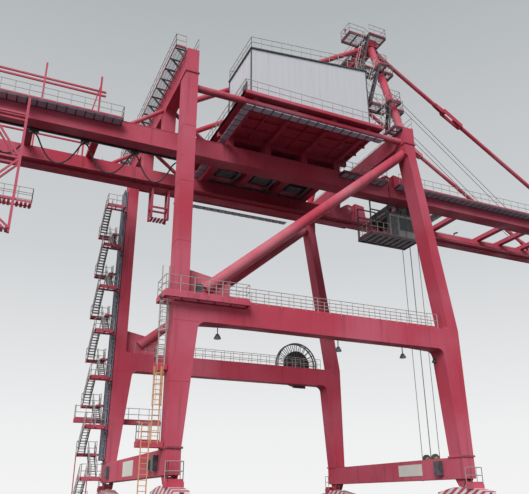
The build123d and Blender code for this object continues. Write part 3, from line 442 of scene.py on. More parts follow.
def metal(name, colour, worn, rough=0.45, metallic=0.0, scale=30):
    """Bare or galvanised metal with a mottled, slightly pitted face."""
    finish = Finish(name)
    base = finish.mix(finish.ramp(finish.noise(scale, 4), 0.35, 0.7), colour, worn)
    finish.link(
        finish.ramp(finish.noise(scale * 2, 2), 0.3, 0.7, rough - 0.1, rough + 0.15),
        finish.shader.inputs["Roughness"],
    )
    finish.bump(finish.noise(scale * 6, 2), 0.0006, 0.4)
    finish.fix(Metallic=metallic)
    return finish.done(base)


def cladding(name, colour):
    """Ribbed sheet: upright ribs as relief, a sine of the place along the wall, with grey dirt."""
    finish = Finish(name)
    parts = finish.node("ShaderNodeSeparateXYZ")
    finish.link(finish.place, parts.inputs["Vector"])
    along = finish.maths("ADD", parts.outputs["X"], parts.outputs["Y"])
    wave = finish.maths("SINE", finish.maths("MULTIPLY", along, 2 * math.pi / (0.30 * REAL)), 0.0)
    runs = finish.ramp(finish.noise(1.0, 5, (30, 30, 1.2)), 0.5, 0.85, 0.0, 0.35)
    base = finish.mix(runs, colour, tuple(0.72 * c for c in colour))
    finish.bump(wave, 0.0010, 0.10)
    finish.fix(Roughness=0.5)
    return finish.done(base)


def striped(name, colour, stripe, pitch):
    """Warning paint: slanting stripes by the sum of height and length along the rail."""
    finish = Finish(name)
    parts = finish.node("ShaderNodeSeparateXYZ")
    finish.link(finish.place, parts.inputs["Vector"])
    slant = finish.maths("ADD", parts.outputs["Y"], finish.maths("MULTIPLY", parts.outputs["Z"], 1.7))
    share = finish.maths("FRACT", finish.maths("MULTIPLY", slant, 1.0 / pitch), 0.0)
    band = finish.ramp(share, 0.48, 0.52)
    dirt = finish.ramp(finish.noise(9, 5), 0.45, 0.75, 0.0, 0.5)
    base = finish.mix(dirt, finish.mix(band, colour, stripe), (0.13, 0.06, 0.06))
    finish.fix(Roughness=0.5)
    return finish.done(base)


FINISHES = {}


def mixed(colour, other, share):
    return tuple(c * (1 - share) + o * share for c, o in zip(colour, other))


class CRANE_OT_finishes(bpy.types.Operator):
    """Make the crane's materials and paint the frame's own steelwork"""

    bl_idname = "crane.finishes"
    bl_label = "Paint the frame"

    def execute(self, context):
        paint = context.scene.crane_paint
        red, faded, grime = tuple(paint.red), tuple(paint.faded), tuple(paint.grime)
        made = {
            "crane_red": enamel("crane_red", red, faded, grime),
            "stay_red": enamel("stay_red", red, mixed(faded, (0.6, 0.5, 0.5), 0.25), grime, 0.2, 0.38),
            "house_sheet": cladding("house_sheet", tuple(paint.house)),
            "house_trim": metal("house_trim", (0.05, 0.055, 0.07), (0.09, 0.09, 0.10), 0.5),
            "cab_paint": enamel("cab_paint", tuple(paint.cab), mixed(paint.cab, (0.5, 0.5, 0.45), 0.5),
                                (0.05, 0.05, 0.045), 0.7, 0.5),
            "grating": metal("grating", tuple(paint.grating), (0.11, 0.085, 0.10), 0.55),
            "machine_grey": metal("machine_grey", tuple(paint.machine), (0.10, 0.10, 0.11), 0.5),
            "rail_steel": metal("rail_steel", (0.20, 0.18, 0.17), (0.32, 0.27, 0.24), 0.35, 0.9),
            "wheel_steel": metal("wheel_steel", (0.06, 0.055, 0.055), (0.16, 0.13, 0.12), 0.5, 0.6),
            "pin_steel": metal("pin_steel", (0.22, 0.21, 0.20), (0.36, 0.34, 0.32), 0.35, 0.9),
            "rope_steel": metal("rope_steel", (0.17, 0.18, 0.175), (0.26, 0.27, 0.26), 0.5, 0.2, 120),
            "spreader_yellow": enamel("spreader_yellow", tuple(paint.spreader),
                                      mixed(paint.spreader, (0.6, 0.5, 0.3), 0.4), (0.08, 0.05, 0.03), 0.6),
            "buffer_rubber": metal("buffer_rubber", (0.018, 0.018, 0.018), (0.035, 0.035, 0.035), 0.75),
            "safety_yellow": enamel("safety_yellow", tuple(paint.ladder),
                                    mixed(paint.ladder, (0.6, 0.45, 0.35), 0.5), (0.12, 0.06, 0.04), 0.5),
            "bogie_stripe": striped("bogie_stripe", red, (0.74, 0.70, 0.70), 0.80 * REAL),
            # Pale bluish panels under the floors: their colour is painted light, the sky seen through the
            # grating
            "painted_sky_panel": metal("painted_sky_panel", (0.42, 0.44, 0.54), (0.50, 0.50, 0.60), 0.6),
            "mast_blue": metal("mast_blue", (0.13, 0.14, 0.18), (0.19, 0.20, 0.24), 0.5),
            "cab_glass": metal("cab_glass", (0.010, 0.012, 0.014), (0.02, 0.022, 0.025), 0.16, 0.0, 8),
            "plate": metal("plate", (0.62, 0.60, 0.52), (0.66, 0.66, 0.62), 0.5, 0.0, 8),
            "handrail": metal("handrail", tuple(paint.rails), mixed(paint.rails, (0.5, 0.3, 0.3), 0.35),
                              0.5, 0.2),
        }
        FINISHES.update(made)
        slots = {row["node"]: row["material_slot"] for row in frame["record"]["subparts"]}
        slots["machinery_deck"] = "crane_red"
        for node, body in frame["nodes"].items():
            body.data.materials.clear()
            body.data.materials.append(FINISHES[slots[node]])
        return {"FINISHED"}


def node_box(node):
    """The lowest and the highest corner of a frame node as arrays."""
    low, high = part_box(node)
    return np.array(low), np.array(high)


def loose_boxes(node):
    """Low and high corners of each separate solid of a frame node, lowest X first.

    Points that coincide are one point; each triangle then gives its corners the lowest label
    among them, over and over, until every solid carries one label."""
    mesh = frame["nodes"][node].data
    points = np.empty(len(mesh.vertices) * 3)
    mesh.vertices.foreach_get("co", points)
    points = points.reshape(-1, 3)
    mesh.calc_loop_triangles()
    corners = np.empty(len(mesh.loop_triangles) * 3, int)
    mesh.loop_triangles.foreach_get("vertices", corners)
    merged = np.unique(np.round(points, 5), axis=0, return_inverse=True)[1].reshape(-1)
    faces = merged[corners].reshape(-1, 3)
    label = np.arange(merged.max() + 1)
    while True:
        lowest = label[faces].min(axis=1)
        after = label.copy()
        for corner in range(3):
            np.minimum.at(after, faces[:, corner], lowest)
        after = after[after]
        if (after == label).all():
            break
        label = after
    group = label[merged]
    boxes = [(points[group == g].min(axis=0), points[group == g].max(axis=0)) for g in np.unique(group)]
    return sorted(boxes, key=lambda box: tuple(np.round(box[0], 3)))


def reach(node, axis, side):
    """One coordinate of a frame node's box in real metres; side 0 is its low end and 1 its high end."""
    return round(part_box(node)[side][axis] / REAL, 3)


# Faces of the frame that the light steelwork hangs on, in real metres
LAND_FACE = reach("legs_landside", 0, 0)
LEG_OUTER = reach("legs_landside", 1, 1)
LEG_DEPTH = 1.39
LEG_INNER = LEG_OUTER - LEG_DEPTH
LAND_BEAM_TOP = reach("crossbeam_landside", 2, 1)
WATER_BEAM_TOP = reach("crossbeam_waterside", 2, 1)
WATER_HEAD = 19.2
PORTAL_TOP = reach("portal_beams", 2, 1)
PORTAL_BOTTOM = reach("portal_beams", 2, 0)
SILL_BOTTOM = reach("sill_beams", 2, 0)
SILL_TOP = reach("sill_beams", 2, 1)
PORTAL_THICKNESS = 0.97
PORTAL_DEPTH = 1.57
GIRDER_Y = 3.41
HALF_GIRDER = 0.53
GIRDER_SIDE = reach("fixed_girders", 1, 1)
GIRDER_TOP = reach("fixed_girders", 2, 1)
GIRDER_BOTTOM = reach("fixed_girders", 2, 0)
BOOM_TOP = reach("boom_girders", 2, 1)
BOOM_BOTTOM = GIRDER_BOTTOM + 0.10
BACK_END = reach("fixed_girders", 0, 0)
BOOM_END = reach("boom_girders", 0, 1)
APEX_X = 20.93
APEX_TOP = reach("apex_beam", 2, 1)

# Floors and ladders
WALK_WIDTH = 0.85
FLOOR_DEPTH = 0.10
SIDE_WALK = 0.60
WALK_EDGE = GIRDER_SIDE + WALK_WIDTH
LADDER_Y = -LEG_INNER - 0.68
REST_TOP = SILL_TOP + 0.41
PERCH_TOP = REST_TOP + 4.6

# Stair tower on the landward face of the far landside leg
STOREY = 4.05
NEAR_LANDINGS = [3.2 + STOREY * i for i in range(7)]
FAR_LANDINGS = [z + STOREY / 2 for z in NEAR_LANDINGS[:-1]]
LOW_LANDING = NEAR_LANDINGS[0] - STOREY / 2
TOWER_X = (LAND_FACE - 1.95, LAND_FACE - 0.32)
STAIR_Y = (LEG_INNER + 0.11, LEG_INNER + 2.18)
STAIR_WIDTH = 0.60
STAIR_SLOT = 0.25
TOWER_RISE = 0.20
LANDING_DEPTH = 0.16

# Floors by the front pipe and over the apex
LOW_FLOOR = 35.2
HIGH_FLOOR = 40.7
TOP_FLOOR = APEX_TOP + FLOOR_DEPTH
LADDER_STAIR = 0.55
POLE = (18.2, -3.2)

# Cages, festoon and cable reel
CAGE_BAR = 0.18
FESTOON_Y = -GIRDER_Y + 0.96
FESTOON_TOP = GIRDER_BOTTOM - 0.28
FESTOON_CARRIERS = (-10.1, -6.3, -2.4)
FESTOON_ENDS = (-13.4, -10.32, -9.88, -6.52, -6.08, -2.62, -2.18, 0.9)
FESTOON_SAG = 2.2
REEL_PLACE = (18.54, LEG_OUTER + 0.59, PORTAL_TOP + 0.67)
REEL_RADIUS = 2.25
REEL_HALF = 0.25

# Half the length of the cross beams' walkways
BEAM_WALK_END = 9.56

# Pins of the forestays as (X, Z), and the share of their length above the fold
STAY_TOP = (21.6, 45.0)
STAY_FOOT = (47.05, 29.55)
STAY_SHARE = 0.326
STAY_WIDTH = 0.42

# Plates of the landside legs and the portal beams, which lie inside the flanges' lips
LAND_PLATE = -0.474
LEG_PLATES = (8.22, 9.61)
BEAM_PLATES = (8.64, 9.61)

# Seams, bolts and lips of the welded plate work
SEAM = 0.035 * REAL
LIP = 0.012 * REAL
FLANGE_Z = 4.47
LEG_SEAMS = (8.3, 17.6, 22.1, 26.6)
BEAM_SEAMS = (4.8, 9.4, 14.0, 18.0)
BOLT_Y = (9.655, 8.175)
STIFFENER_PITCH = 3.3
HAUNCH = (2.88, 1.7)
LAMP_Y = 4.7

# Turned profiles: radius and height in real metres
SHEAVE_PROFILE = (
    (0, -0.09), (0.40, -0.09), (0.44, -0.07), (0.38, 0), (0.44, 0.07), (0.40, 0.09), (0, 0.09),
)
HUB_PROFILE = (
    (0, -0.36), (0.18, -0.36), (0.30, -0.28), (0.60, -0.26), (0.60, 0.26), (0.30, 0.28), (0, 0.28),
)
CARRIER_WHEEL_PROFILE = ((0, -0.09), (0.09, -0.09), (0.09, 0.09), (0, 0.09))
DRUM_PROFILE = (
    (0, 0), (0.34, 0), (0.34, 0.04), (0.28, 0.05), (0.28, 0.75), (0.34, 0.76), (0.34, 0.8), (0, 0.8),
)
VENT_PROFILE = ((0, 0), (0.22, 0), (0.22, 0.35), (0.38, 0.37), (0.34, 0.50), (0, 0.58))
MOTOR_PROFILE = ((0, -0.35), (0.17, -0.35), (0.17, 0.35), (0, 0.35))
LOCK_PROFILE = ((0, 0), (0.05, 0.03), (0.08, 0.12), (0.08, 0.2), (0, 0.2))
LAMP_PROFILE = ((0, 0), (0.10, 0), (0.24, -0.26), (0.24, -0.32), (0, -0.32))
AXLE_CAP_PROFILE = ((0, 0), (0.13, 0), (0.13, 0.035), (0.09, 0.05), (0, 0.05))
PIN_CAP_PROFILE = ((0, 0), (0.14, 0), (0.14, 0.03), (0, 0.03))


def span(x, y, top, depth=FLOOR_DEPTH):
    """Low and high corner of a floor from its X and Y in real metres and the height of its top."""
    return real(x[0], y[0], top - depth), real(x[1], y[1], top)


def railing(steel, line, sizes, pitch=None, kick=True):
    """Posts at equal steps along a line of deck points, with a top rail, a knee rail and a kick plate."""
    line = np.asarray(line, float)
    size, height = sizes.rail_size, sizes.rail_height
    pitch = pitch or sizes.post_pitch
    for a, b in zip(line[:-1], line[1:]):
        steps = max(1, math.ceil(np.linalg.norm(b - a) / pitch))
        foot = a + (b - a) * (np.arange(steps + 1) / steps)[:, None]
        steel.bars(foot, foot + [0, 0, height], size, sides=6)
        for share in (1.0, 0.52):
            lift = np.array([0, 0, height * share])
            steel.bars([a + lift], [b + lift], size, sides=6)
        if kick:
            lift = np.array([0, 0, 0.07 * REAL])
            steel.kicks.bars([a + lift], [b + lift], size * 0.4, 0.15 * REAL)


def rim(steel, low, high, sizes, sides, kick=True):
    """Handrails round the top of a floor, on the sides named by w, e, n and s."""
    inset = sizes.rail_size * 0.6
    west, south = low[0] + inset, low[1] + inset
    east, north = high[0] - inset, high[1] - inset
    top = high[2]
    runs = {
        "w": [(west, south, top), (west, north, top)],
        "e": [(east, south, top), (east, north, top)],
        "s": [(west, south, top), (east, south, top)],
        "n": [(west, north, top), (east, north, top)],
    }
    for side in sides:
        railing(steel, runs[side], sizes, kick=kick)


def grid_floor(steel, low, high, sizes):
    """Open flooring: bearing bars at equal steps across the shorter side, rods along the longer one.

    A flat bar closes each of the four edges over the floor's whole depth."""
    long = 0 if high[0] - low[0] > high[1] - low[1] else 1
    short = 1 - long
    bar = rod = 0.012 * REAL
    count = max(2, round((high[long] - low[long]) / sizes.grate_pitch))
    lows = np.tile(low, (count, 1))
    highs = np.tile(high, (count, 1))
    lows[:, long] = np.linspace(low[long], high[long] - bar, count)
    highs[:, long] = lows[:, long] + bar
    lows[:, 2] = high[2] - 0.03 * REAL
    steel.boxes(lows, highs)
    count = max(3, round((high[short] - low[short]) / (0.21 * REAL)))
    lows = np.tile(low, (count, 1))
    highs = np.tile(high, (count, 1))
    lows[:, short] = np.linspace(low[short], high[short] - rod, count)
    highs[:, short] = lows[:, short] + rod
    lows[:, 2] = high[2] - 0.02 * REAL
    steel.boxes(lows, highs)
    edge = 0.045 * REAL
    for axis in (0, 1):
        for at in (low[axis], high[axis] - edge):
            a, b = low.copy(), high.copy()
            a[axis], b[axis] = at, at + edge
            steel.boxes([a], [b])


def joists(steel, low, high, pitch, depth, width):
    """Bars at equal steps under a floor, across its shorter side, with a channel along each edge."""
    long = 0 if high[0] - low[0] > high[1] - low[1] else 1
    short = 1 - long
    count = max(2, round((high[long] - low[long]) / pitch) + 1)
    places = np.linspace(low[long] + width, high[long] - width, count)
    start = np.zeros((count, 3))
    start[:, long] = places
    start[:, short] = low[short]
    start[:, 2] = low[2] - depth / 2
    end = start.copy()
    end[:, short] = high[short]
    steel.bars(start, end, width, depth)
    for edge in (low[short] + width / 2, high[short] - width / 2):
        a = np.array([0.0, 0.0, low[2] - depth / 2])
        a[long], a[short] = low[long], edge
        b = a.copy()
        b[long] = high[long]
        steel.bars([a], [b], width, depth)


def slabs(steel, low, high, pitch, gap):
    """Plates at equal steps along a floor's longer side, with an open joint between each two."""
    long = 0 if high[0] - low[0] > high[1] - low[1] else 1
    count = max(1, round((high[long] - low[long]) / pitch))
    step = (high[long] - low[long]) / count
    lows, highs = np.tile(low, (count, 1)), np.tile(high, (count, 1))
    lows[:, long] = low[long] + step * np.arange(count) + gap / 2
    highs[:, long] = lows[:, long] + step - gap
    steel.boxes(lows, highs)


def lining(floors, painted_sky_panels, low, high):
    """Under a floor a dark plate, and below that pale bluish panels with dark joints; their pale colour is
    painted light, the sky seen through the grating.
    """
    inset = real(0.06, 0.05, 0)
    floors.boxes([low + inset - real(0, 0, 0.02)], [[*(high - inset)[:2], low[2]]])
    slabs(painted_sky_panels, low + inset - real(0, 0, 0.05), np.array([*(high - inset)[:2], low[2] - 0.02 * REAL]),
          0.70 * REAL, 0.10 * REAL)


def fascia(steel, low, high, depth):
    """Upright plates against a floor's four edges, from its top down."""
    skin = 0.04 * REAL
    for axis in (0, 1):
        for at, way in ((low[axis], -1), (high[axis], 1)):
            a, b = low.copy(), high.copy()
            a[2] = high[2] - depth
            a[axis], b[axis] = sorted((at, at + way * skin))
            steel.boxes([a], [b])


class CRANE_OT_leg_platforms(bpy.types.Operator):
    """Floors and handrails on the portal beams, on the landside legs and at the ends of the sills"""

    bl_idname = "crane.leg_platforms"
    bl_label = "Leg platforms"

    def execute(self, context):
        sizes = context.scene.crane_sizes
        rails, floors, red = Rails(), Steelwork(), Steelwork()
        inset = 0.12
        for side in (-1, 1):
            for y in (LEG_OUTER - inset, LEG_OUTER - PORTAL_THICKNESS + inset):
                railing(rails, [real(1.4, side * y, PORTAL_TOP), real(20.6, side * y, PORTAL_TOP)], sizes)
        walk = LAND_FACE - 0.73
        outer = (-LEG_OUTER - SIDE_WALK, -LEG_OUTER)
        rows = [
            ((walk, 4.5), outer, PORTAL_TOP, 0.14, "s"),
            ((walk, LAND_FACE), (LADDER_Y, -LEG_INNER), PORTAL_TOP, 0.14, "n"),
            ((LAND_FACE - 1.5, LAND_FACE), (LADDER_Y, -LEG_INNER), REST_TOP, 0.15, "wn"),
            ((LAND_FACE - 0.68, LAND_FACE), (LADDER_Y, -LEG_INNER), PERCH_TOP, 0.15, "wn"),
            ((TOWER_X[0] - 0.6, 4.4), (LEG_OUTER, LEG_OUTER + SIDE_WALK), 8.1, 0.16, "wen"),
        ]
        for x in ((LAND_FACE, 0.426), (21.45, 22.5)):
            for side in (-1, 1):
                ends = sorted((side * LEG_OUTER, side * (LEG_OUTER + SIDE_WALK)))
                rows.append((x, ends, SILL_BOTTOM + 0.15, 0.12, "wes" if side < 0 else "wen"))
        for x, y, top, depth, sides in rows:
            low, high = span(x, y, top, depth)
            grid_floor(floors, low, high, sizes)
            fascia(red, low, high, 0.34 * REAL)
            rim(rails, low, high, sizes, sides)
            count = max(2, round((x[1] - x[0]) / 1.2) + 1)
            places = np.linspace(x[0] + 0.08, x[1] - 0.08, count)
            inner = y[1] if y[0] < 0 and y[1] == -LEG_OUTER else y[0]
            away = y[0] if inner == y[1] else y[1]
            drop = np.full(count, top - depth - 0.05)
            start = np.stack([places, np.full(count, inner), drop], axis=1) * REAL
            end = np.stack([places, np.full(count, away), drop], axis=1) * REAL
            red.bars(start, end, 0.07 * REAL, 0.12 * REAL)
        low, high = span((walk, walk + 0.07), (-LEG_OUTER, LADDER_Y), PORTAL_TOP, 0.14)
        floors.boxes([low], [high])
        railing(rails, [real(walk + 0.03, -LEG_OUTER - SIDE_WALK, PORTAL_TOP),
                        real(walk + 0.03, -LEG_INNER, PORTAL_TOP)], sizes)
        railing(rails, [real(4.47, -LEG_OUTER - SIDE_WALK, PORTAL_TOP),
                        real(4.47, -LEG_OUTER, PORTAL_TOP)], sizes)
        floors.piece("leg_floors", "frame", FINISHES["grating"], "grating")
        rails.pieces("portal_handrails", "frame")
        red.piece("leg_floor_brackets", "frame", FINISHES["crane_red"], "crane_red")
        return {"FINISHED"}


class CRANE_OT_walkways(bpy.types.Operator):
    """Walkways on the fixed girders and the cross beams, with their joists, brackets and rails"""

    bl_idname = "crane.walkways"
    bl_label = "Walkways"

    def execute(self, context):
        sizes = context.scene.crane_sizes
        rails, floors, painted_sky_panels = Rails(), Steelwork(), Steelwork()
        girder_top = GIRDER_TOP - 0.35
        walks = [((BACK_END + 0.1, -3.9), girder_top), ((16.0, 20.75), BOOM_TOP)]
        for side in (-1, 1):
            y = sorted((side * GIRDER_SIDE, side * WALK_EDGE))
            for x, top in walks:
                low, high = span(x, y, top)
                grid_floor(floors, low, high, sizes)
                lining(floors, painted_sky_panels, low, high)
                joists(floors, low, high, 0.7 * REAL, 0.08 * REAL, 0.05 * REAL)
                rim(rails, low, high, sizes, ("s" if side < 0 else "n") + "we")
        low, high = span((LAND_FACE - WALK_WIDTH, LAND_FACE), (-BEAM_WALK_END, BEAM_WALK_END),
                         LAND_BEAM_TOP - 0.05)
        grid_floor(floors, low, high, sizes)
        rim(rails, low, high, sizes, "wns")
        knee = LAND_BEAM_TOP - 0.15
        for y in np.linspace(-9.44, 9.44, 15):
            floors.plate(
                [real(LAND_FACE - 0.80, y, knee), real(LAND_FACE, y, knee - 0.85),
                 real(LAND_FACE, y, knee - 0.67), real(LAND_FACE - 0.62, y, knee)],
                real(0, 0.10, 0),
            )
            floors.bars(
                [real(LAND_FACE, y + 0.05, knee - 0.04)], [real(LAND_FACE - 0.85, y + 0.05, knee - 0.04)],
                0.09 * REAL, 0.10 * REAL,
            )
        for side in (-1, 1):
            y = sorted((side * (BEAM_WALK_END - 2 * WALK_WIDTH), side * BEAM_WALK_END))
            low, high = span((WATER_HEAD - WALK_WIDTH, WATER_HEAD), y, WATER_BEAM_TOP - 0.05)
            grid_floor(floors, low, high, sizes)
            joists(floors, low, high, 0.5 * REAL, 0.12 * REAL, 0.07 * REAL)
            rim(rails, low, high, sizes, "w" + ("s" if side < 0 else "n"))
        low, high = node_box("machinery_deck")
        rim(rails, low, high, sizes, "wens")
        for beam in ("crossbeam_landside", "crossbeam_waterside"):
            low, high = node_box(beam)
            edge = high[0] - 0.08 * REAL
            railing(rails, [(edge, low[1], high[2]), (edge, high[1], high[2])], sizes)
        rails.pieces("walkway_handrails", "frame")
        floors.piece("walkway_floors", "frame", FINISHES["grating"], "grating")
        # Panels under the walkways, painted pale bluish as painted light: the sky seen through the grating
        painted_sky_panels.piece("walkway_painted_sky_panels", "frame", FINISHES["painted_sky_panel"], "grating")

        braces = Steelwork()
        ends = []
        for y in (-GIRDER_Y, GIRDER_Y):
            for way, face in ((-1, LAND_FACE), (1, -LAND_FACE)):
                ends.append((real(face - way * 0.1, y, 31.62), real(face + way * 3.0, y, GIRDER_TOP - 0.15)))
        braces.bars([a for a, b in ends], [b for a, b in ends], 0.34 * REAL, sides=20)
        braces.piece("hanger_braces", "frame", FINISHES["stay_red"], "stay_red")
        return {"FINISHED"}


class CRANE_OT_boom_walkways(bpy.types.Operator):
    """Walkways outside the boom's girders, with their joists, rails and panels whose pale colour is painted
    sky light seen through the grating
    """

    bl_idname = "crane.boom_walkways"
    bl_label = "Boom walkways"

    def execute(self, context):
        sizes = context.scene.crane_sizes
        rails, floors, painted_sky_panels = Rails(), Steelwork(), Steelwork()
        x = (22.05, BOOM_END - 0.4)
        for side in (-1, 1):
            low, high = span(x, sorted((side * GIRDER_SIDE, side * WALK_EDGE)), BOOM_TOP)
            grid_floor(floors, low, high, sizes)
            lining(floors, painted_sky_panels, low, high)
            joists(floors, low, high, 0.7 * REAL, 0.08 * REAL, 0.05 * REAL)
            rim(rails, low, high, sizes, ("s" if side < 0 else "n") + "e")
        rails.pieces("boom_handrails", "boom")
        floors.piece("boom_floors", "boom", FINISHES["grating"], "grating")
        # Panels under the boom walkways, painted pale bluish as painted light: the sky seen through the
        # grating
        painted_sky_panels.piece("boom_painted_sky_panels", "boom", FINISHES["painted_sky_panel"], "grating")
        return {"FINISHED"}


class CRANE_OT_stair_tower(bpy.types.Operator):
    """Landings, flights, handrails and the lift's guide mast on the far landside leg"""

    bl_idname = "crane.stair_tower"
    bl_label = "Stair tower"

    def execute(self, context):
        sizes = context.scene.crane_sizes
        landings, treads, rails = Steelwork(), Steelwork(), Rails()
        near = (STAIR_Y[0] - WALK_WIDTH, STAIR_Y[0])
        far = (STAIR_Y[1], STAIR_Y[1] + WALK_WIDTH)
        for z in NEAR_LANDINGS:
            self.landing(landings, treads, TOWER_X, near, z, sizes)
            landings.boxes([real(TOWER_X[1], LEG_INNER, z - LANDING_DEPTH)], [real(LAND_FACE, STAIR_Y[0], z)])
            rim(rails, *span(TOWER_X, near, z), sizes, "ws")
        for z in FAR_LANDINGS:
            self.landing(landings, treads, TOWER_X, far, z, sizes)
            arm = TOWER_X[1] - 0.55
            landings.boxes([real(arm, 9.49, z - LANDING_DEPTH)], [real(TOWER_X[1], STAIR_Y[1], z)])
            landings.boxes([real(TOWER_X[1], 9.49, z - LANDING_DEPTH)], [real(LAND_FACE, LEG_OUTER, z)])
            rim(rails, *span(TOWER_X, far, z), sizes, "wne")
        low_x = (TOWER_X[0], TOWER_X[0] + 2 * STAIR_WIDTH)
        self.landing(landings, treads, low_x, far, LOW_LANDING, sizes)
        rim(rails, *span(low_x, far, LOW_LANDING), sizes, "wne")
        for x in (low_x[0] + 0.04, low_x[1] - 0.04):
            landings.bars([real(x, far[1] - 0.04, LOW_LANDING)], [real(x, far[1] - 0.04, FAR_LANDINGS[0])],
                          0.08 * REAL)
        for far_z, near_z in zip([LOW_LANDING, *FAR_LANDINGS], NEAR_LANDINGS):
            self.flight(treads, rails, TOWER_X[0], (STAIR_Y[1], far_z), (STAIR_Y[0], near_z), sizes)
        inner = TOWER_X[0] + STAIR_WIDTH + STAIR_SLOT
        for near_z, far_z in zip(NEAR_LANDINGS, FAR_LANDINGS):
            self.flight(treads, rails, inner, (STAIR_Y[0], near_z), (STAIR_Y[1], far_z), sizes)
        landings.piece("stair_landings", "frame", FINISHES["crane_red"], "crane_red")
        treads.piece("stair_flights", "frame", FINISHES["grating"], "grating")
        rails.pieces("stair_handrails", "frame")
        self.mast()
        return {"FINISHED"}

    def landing(self, steel, floors, x, y, top, sizes):
        """A grating inside a frame of channels as deep as the landing."""
        low, high = span(x, y, top, LANDING_DEPTH)
        grid_floor(floors, low + real(0.06, 0.06, 0.10), high - real(0.06, 0.06, 0.01), sizes)
        edge = 0.07 * REAL
        for axis in (0, 1):
            for at in (low[axis], high[axis] - edge):
                a, b = low.copy(), high.copy()
                a[axis], b[axis] = at, at + edge
                steel.boxes([a], [b])
        middle = (x[0] + x[1]) / 2
        steel.boxes([real(middle - 0.04, y[0], top - LANDING_DEPTH)], [real(middle + 0.04, y[1], top - 0.05)])

    def flight(self, steel, rails, x, foot, head, sizes):
        """Two stringers and the treads between them; foot and head are the (Y, Z) of the ends."""
        for edge in (x, x + STAIR_WIDTH - 0.05):
            corners = [real(edge, y, z + lift) for (y, z), lift in
                       ((foot, -0.16), (head, -0.16), (head, 0.10), (foot, 0.10))]
            steel.plate(corners, real(0.05, 0, 0))
        steps = round((head[1] - foot[1]) / TOWER_RISE)
        share = (np.arange(1, steps) / steps)[:, None]
        place = np.array(foot) + (np.array(head) - np.array(foot)) * share
        count = len(place)
        low = np.stack([np.full(count, x + 0.05), place[:, 0] - 0.12, place[:, 1] - 0.04], axis=1)
        high = np.stack([np.full(count, x + STAIR_WIDTH - 0.05), place[:, 0] + 0.12, place[:, 1]], axis=1)
        steel.boxes(low * REAL, high * REAL)
        size = sizes.rail_size
        for at in (x + 0.025, x + STAIR_WIDTH - 0.025):
            a, b = real(at, foot[0], foot[1] + 0.05), real(at, head[0], head[1] + 0.05)
            posts = a + (b - a) * np.linspace(0, 1, 4)[:, None]
            rails.bars(posts, posts + [0, 0, REAL], size, sides=6)
            for lift in (1.0, 0.5):
                rails.bars([a + real(0, 0, lift)], [b + real(0, 0, lift)], size, sides=6)

    def mast(self):
        """Four chords and zigzag lacing, with the lift's rack up the middle of its landward face."""
        steel = Steelwork()
        x = (LAND_FACE - 0.26, LAND_FACE - 0.04)
        y = (STAIR_Y[0] + 0.02, STAIR_Y[0] + 1.12)
        foot, head = SILL_TOP + 0.28, NEAR_LANDINGS[-1] + 2.2
        for a in x:
            for b in y:
                steel.bars([real(a, b, foot)], [real(a, b, head)], 0.09 * REAL)
        levels = np.linspace(foot, head, 41)
        for face in x:
            place = np.where(np.arange(41) % 2 == 0, y[0], y[1])
            line = np.stack([np.full(41, face), place, levels], axis=1) * REAL
            steel.bars(line[:-1], line[1:], 0.05 * REAL)
        for b in y:
            place = np.where(np.arange(41) % 2 == 0, x[0], x[1])
            line = np.stack([place, np.full(41, b), levels], axis=1) * REAL
            steel.bars(line[:-1], line[1:], 0.04 * REAL)
        for z in levels:
            steel.boxes([real(x[0], y[0], z - 0.03)], [real(x[0] + 0.04, y[1], z + 0.03)])
            steel.boxes([real(x[1] - 0.02, y[0] + 0.2, z - 0.04)], [real(LAND_FACE, y[1] - 0.2, z + 0.04)])
        middle = (y[0] + y[1]) / 2
        steel.boxes([real(x[0] - 0.03, middle - 0.14, foot)], [real(x[0] + 0.03, middle + 0.14, head)])
        steel.boxes([real(x[0] + 0.07, y[0] + 0.03, foot)], [real(x[0] + 0.10, y[1] - 0.03, head)])
        steel.piece("lift_mast", "frame", FINISHES["mast_blue"], "machine_grey")


class CRANE_OT_ladders(bpy.types.Operator):
    """Ladders up the near landside leg, with hoops round the two upper ones"""

    bl_idname = "crane.ladders"
    bl_label = "Ladders"

    def execute(self, context):
        lower, upper = Steelwork(), Steelwork()
        hatch = LAND_FACE - 0.66
        rows = (
            ((LAND_FACE - 1.35, LAND_FACE - 0.81), (0.4, REST_TOP + 1.0), None),
            ((LAND_FACE - 0.78, LAND_FACE - 0.30), (REST_TOP - 0.15, PERCH_TOP - 0.20), PERCH_TOP - 0.20),
            ((hatch, hatch + 0.50), (PERCH_TOP - 0.15, PORTAL_TOP + 2.1), PORTAL_TOP - 0.25),
        )
        y = LADDER_Y - 0.03
        for (x, z, hooped), steel in zip(rows, (lower, lower, upper)):
            for edge in (x[0] + 0.03, x[1] - 0.03):
                steel.bars([real(edge, y, z[0])], [real(edge, y, z[1])], 0.06 * REAL)
            rungs = np.arange(z[0] + 0.15, min(z[1], PORTAL_TOP + 0.1), 0.30)
            foot = np.stack([np.full(len(rungs), x[0]), np.full(len(rungs), y), rungs], axis=1) * REAL
            steel.bars(foot, foot + real(x[1] - x[0], 0, 0), 0.035 * REAL, sides=6)
            if hooped:
                self.cage(steel, x, y, (z[0] + 2.2, hooped))
        lower.piece("leg_ladders", "frame", FINISHES["safety_yellow"], "spreader_yellow")
        upper.piece("portal_ladder", "frame", FINISHES["handrail"], "grating")
        return {"FINISHED"}

    def cage(self, steel, x, y, z):
        """Half hoops at equal steps up the ladder, and five straps down them."""
        middle, half = (x[0] + x[1]) / 2, (x[1] - x[0]) / 2 * 1.15
        turn = np.linspace(0, math.pi, 9)
        across = middle - np.cos(turn) * half
        out = y - np.sin(turn) * 0.62
        for height in np.arange(z[0], z[1], 0.62):
            arc = np.stack([across, out, np.full(9, height)], axis=1) * REAL
            steel.bars(arc[:-1], arc[1:], 0.02 * REAL, 0.06 * REAL)
        strap = np.stack([across[::2], out[::2], np.full(5, z[0])], axis=1) * REAL
        steel.bars(strap, strap + real(0, 0, z[1] - z[0]), 0.05 * REAL, 0.02 * REAL)


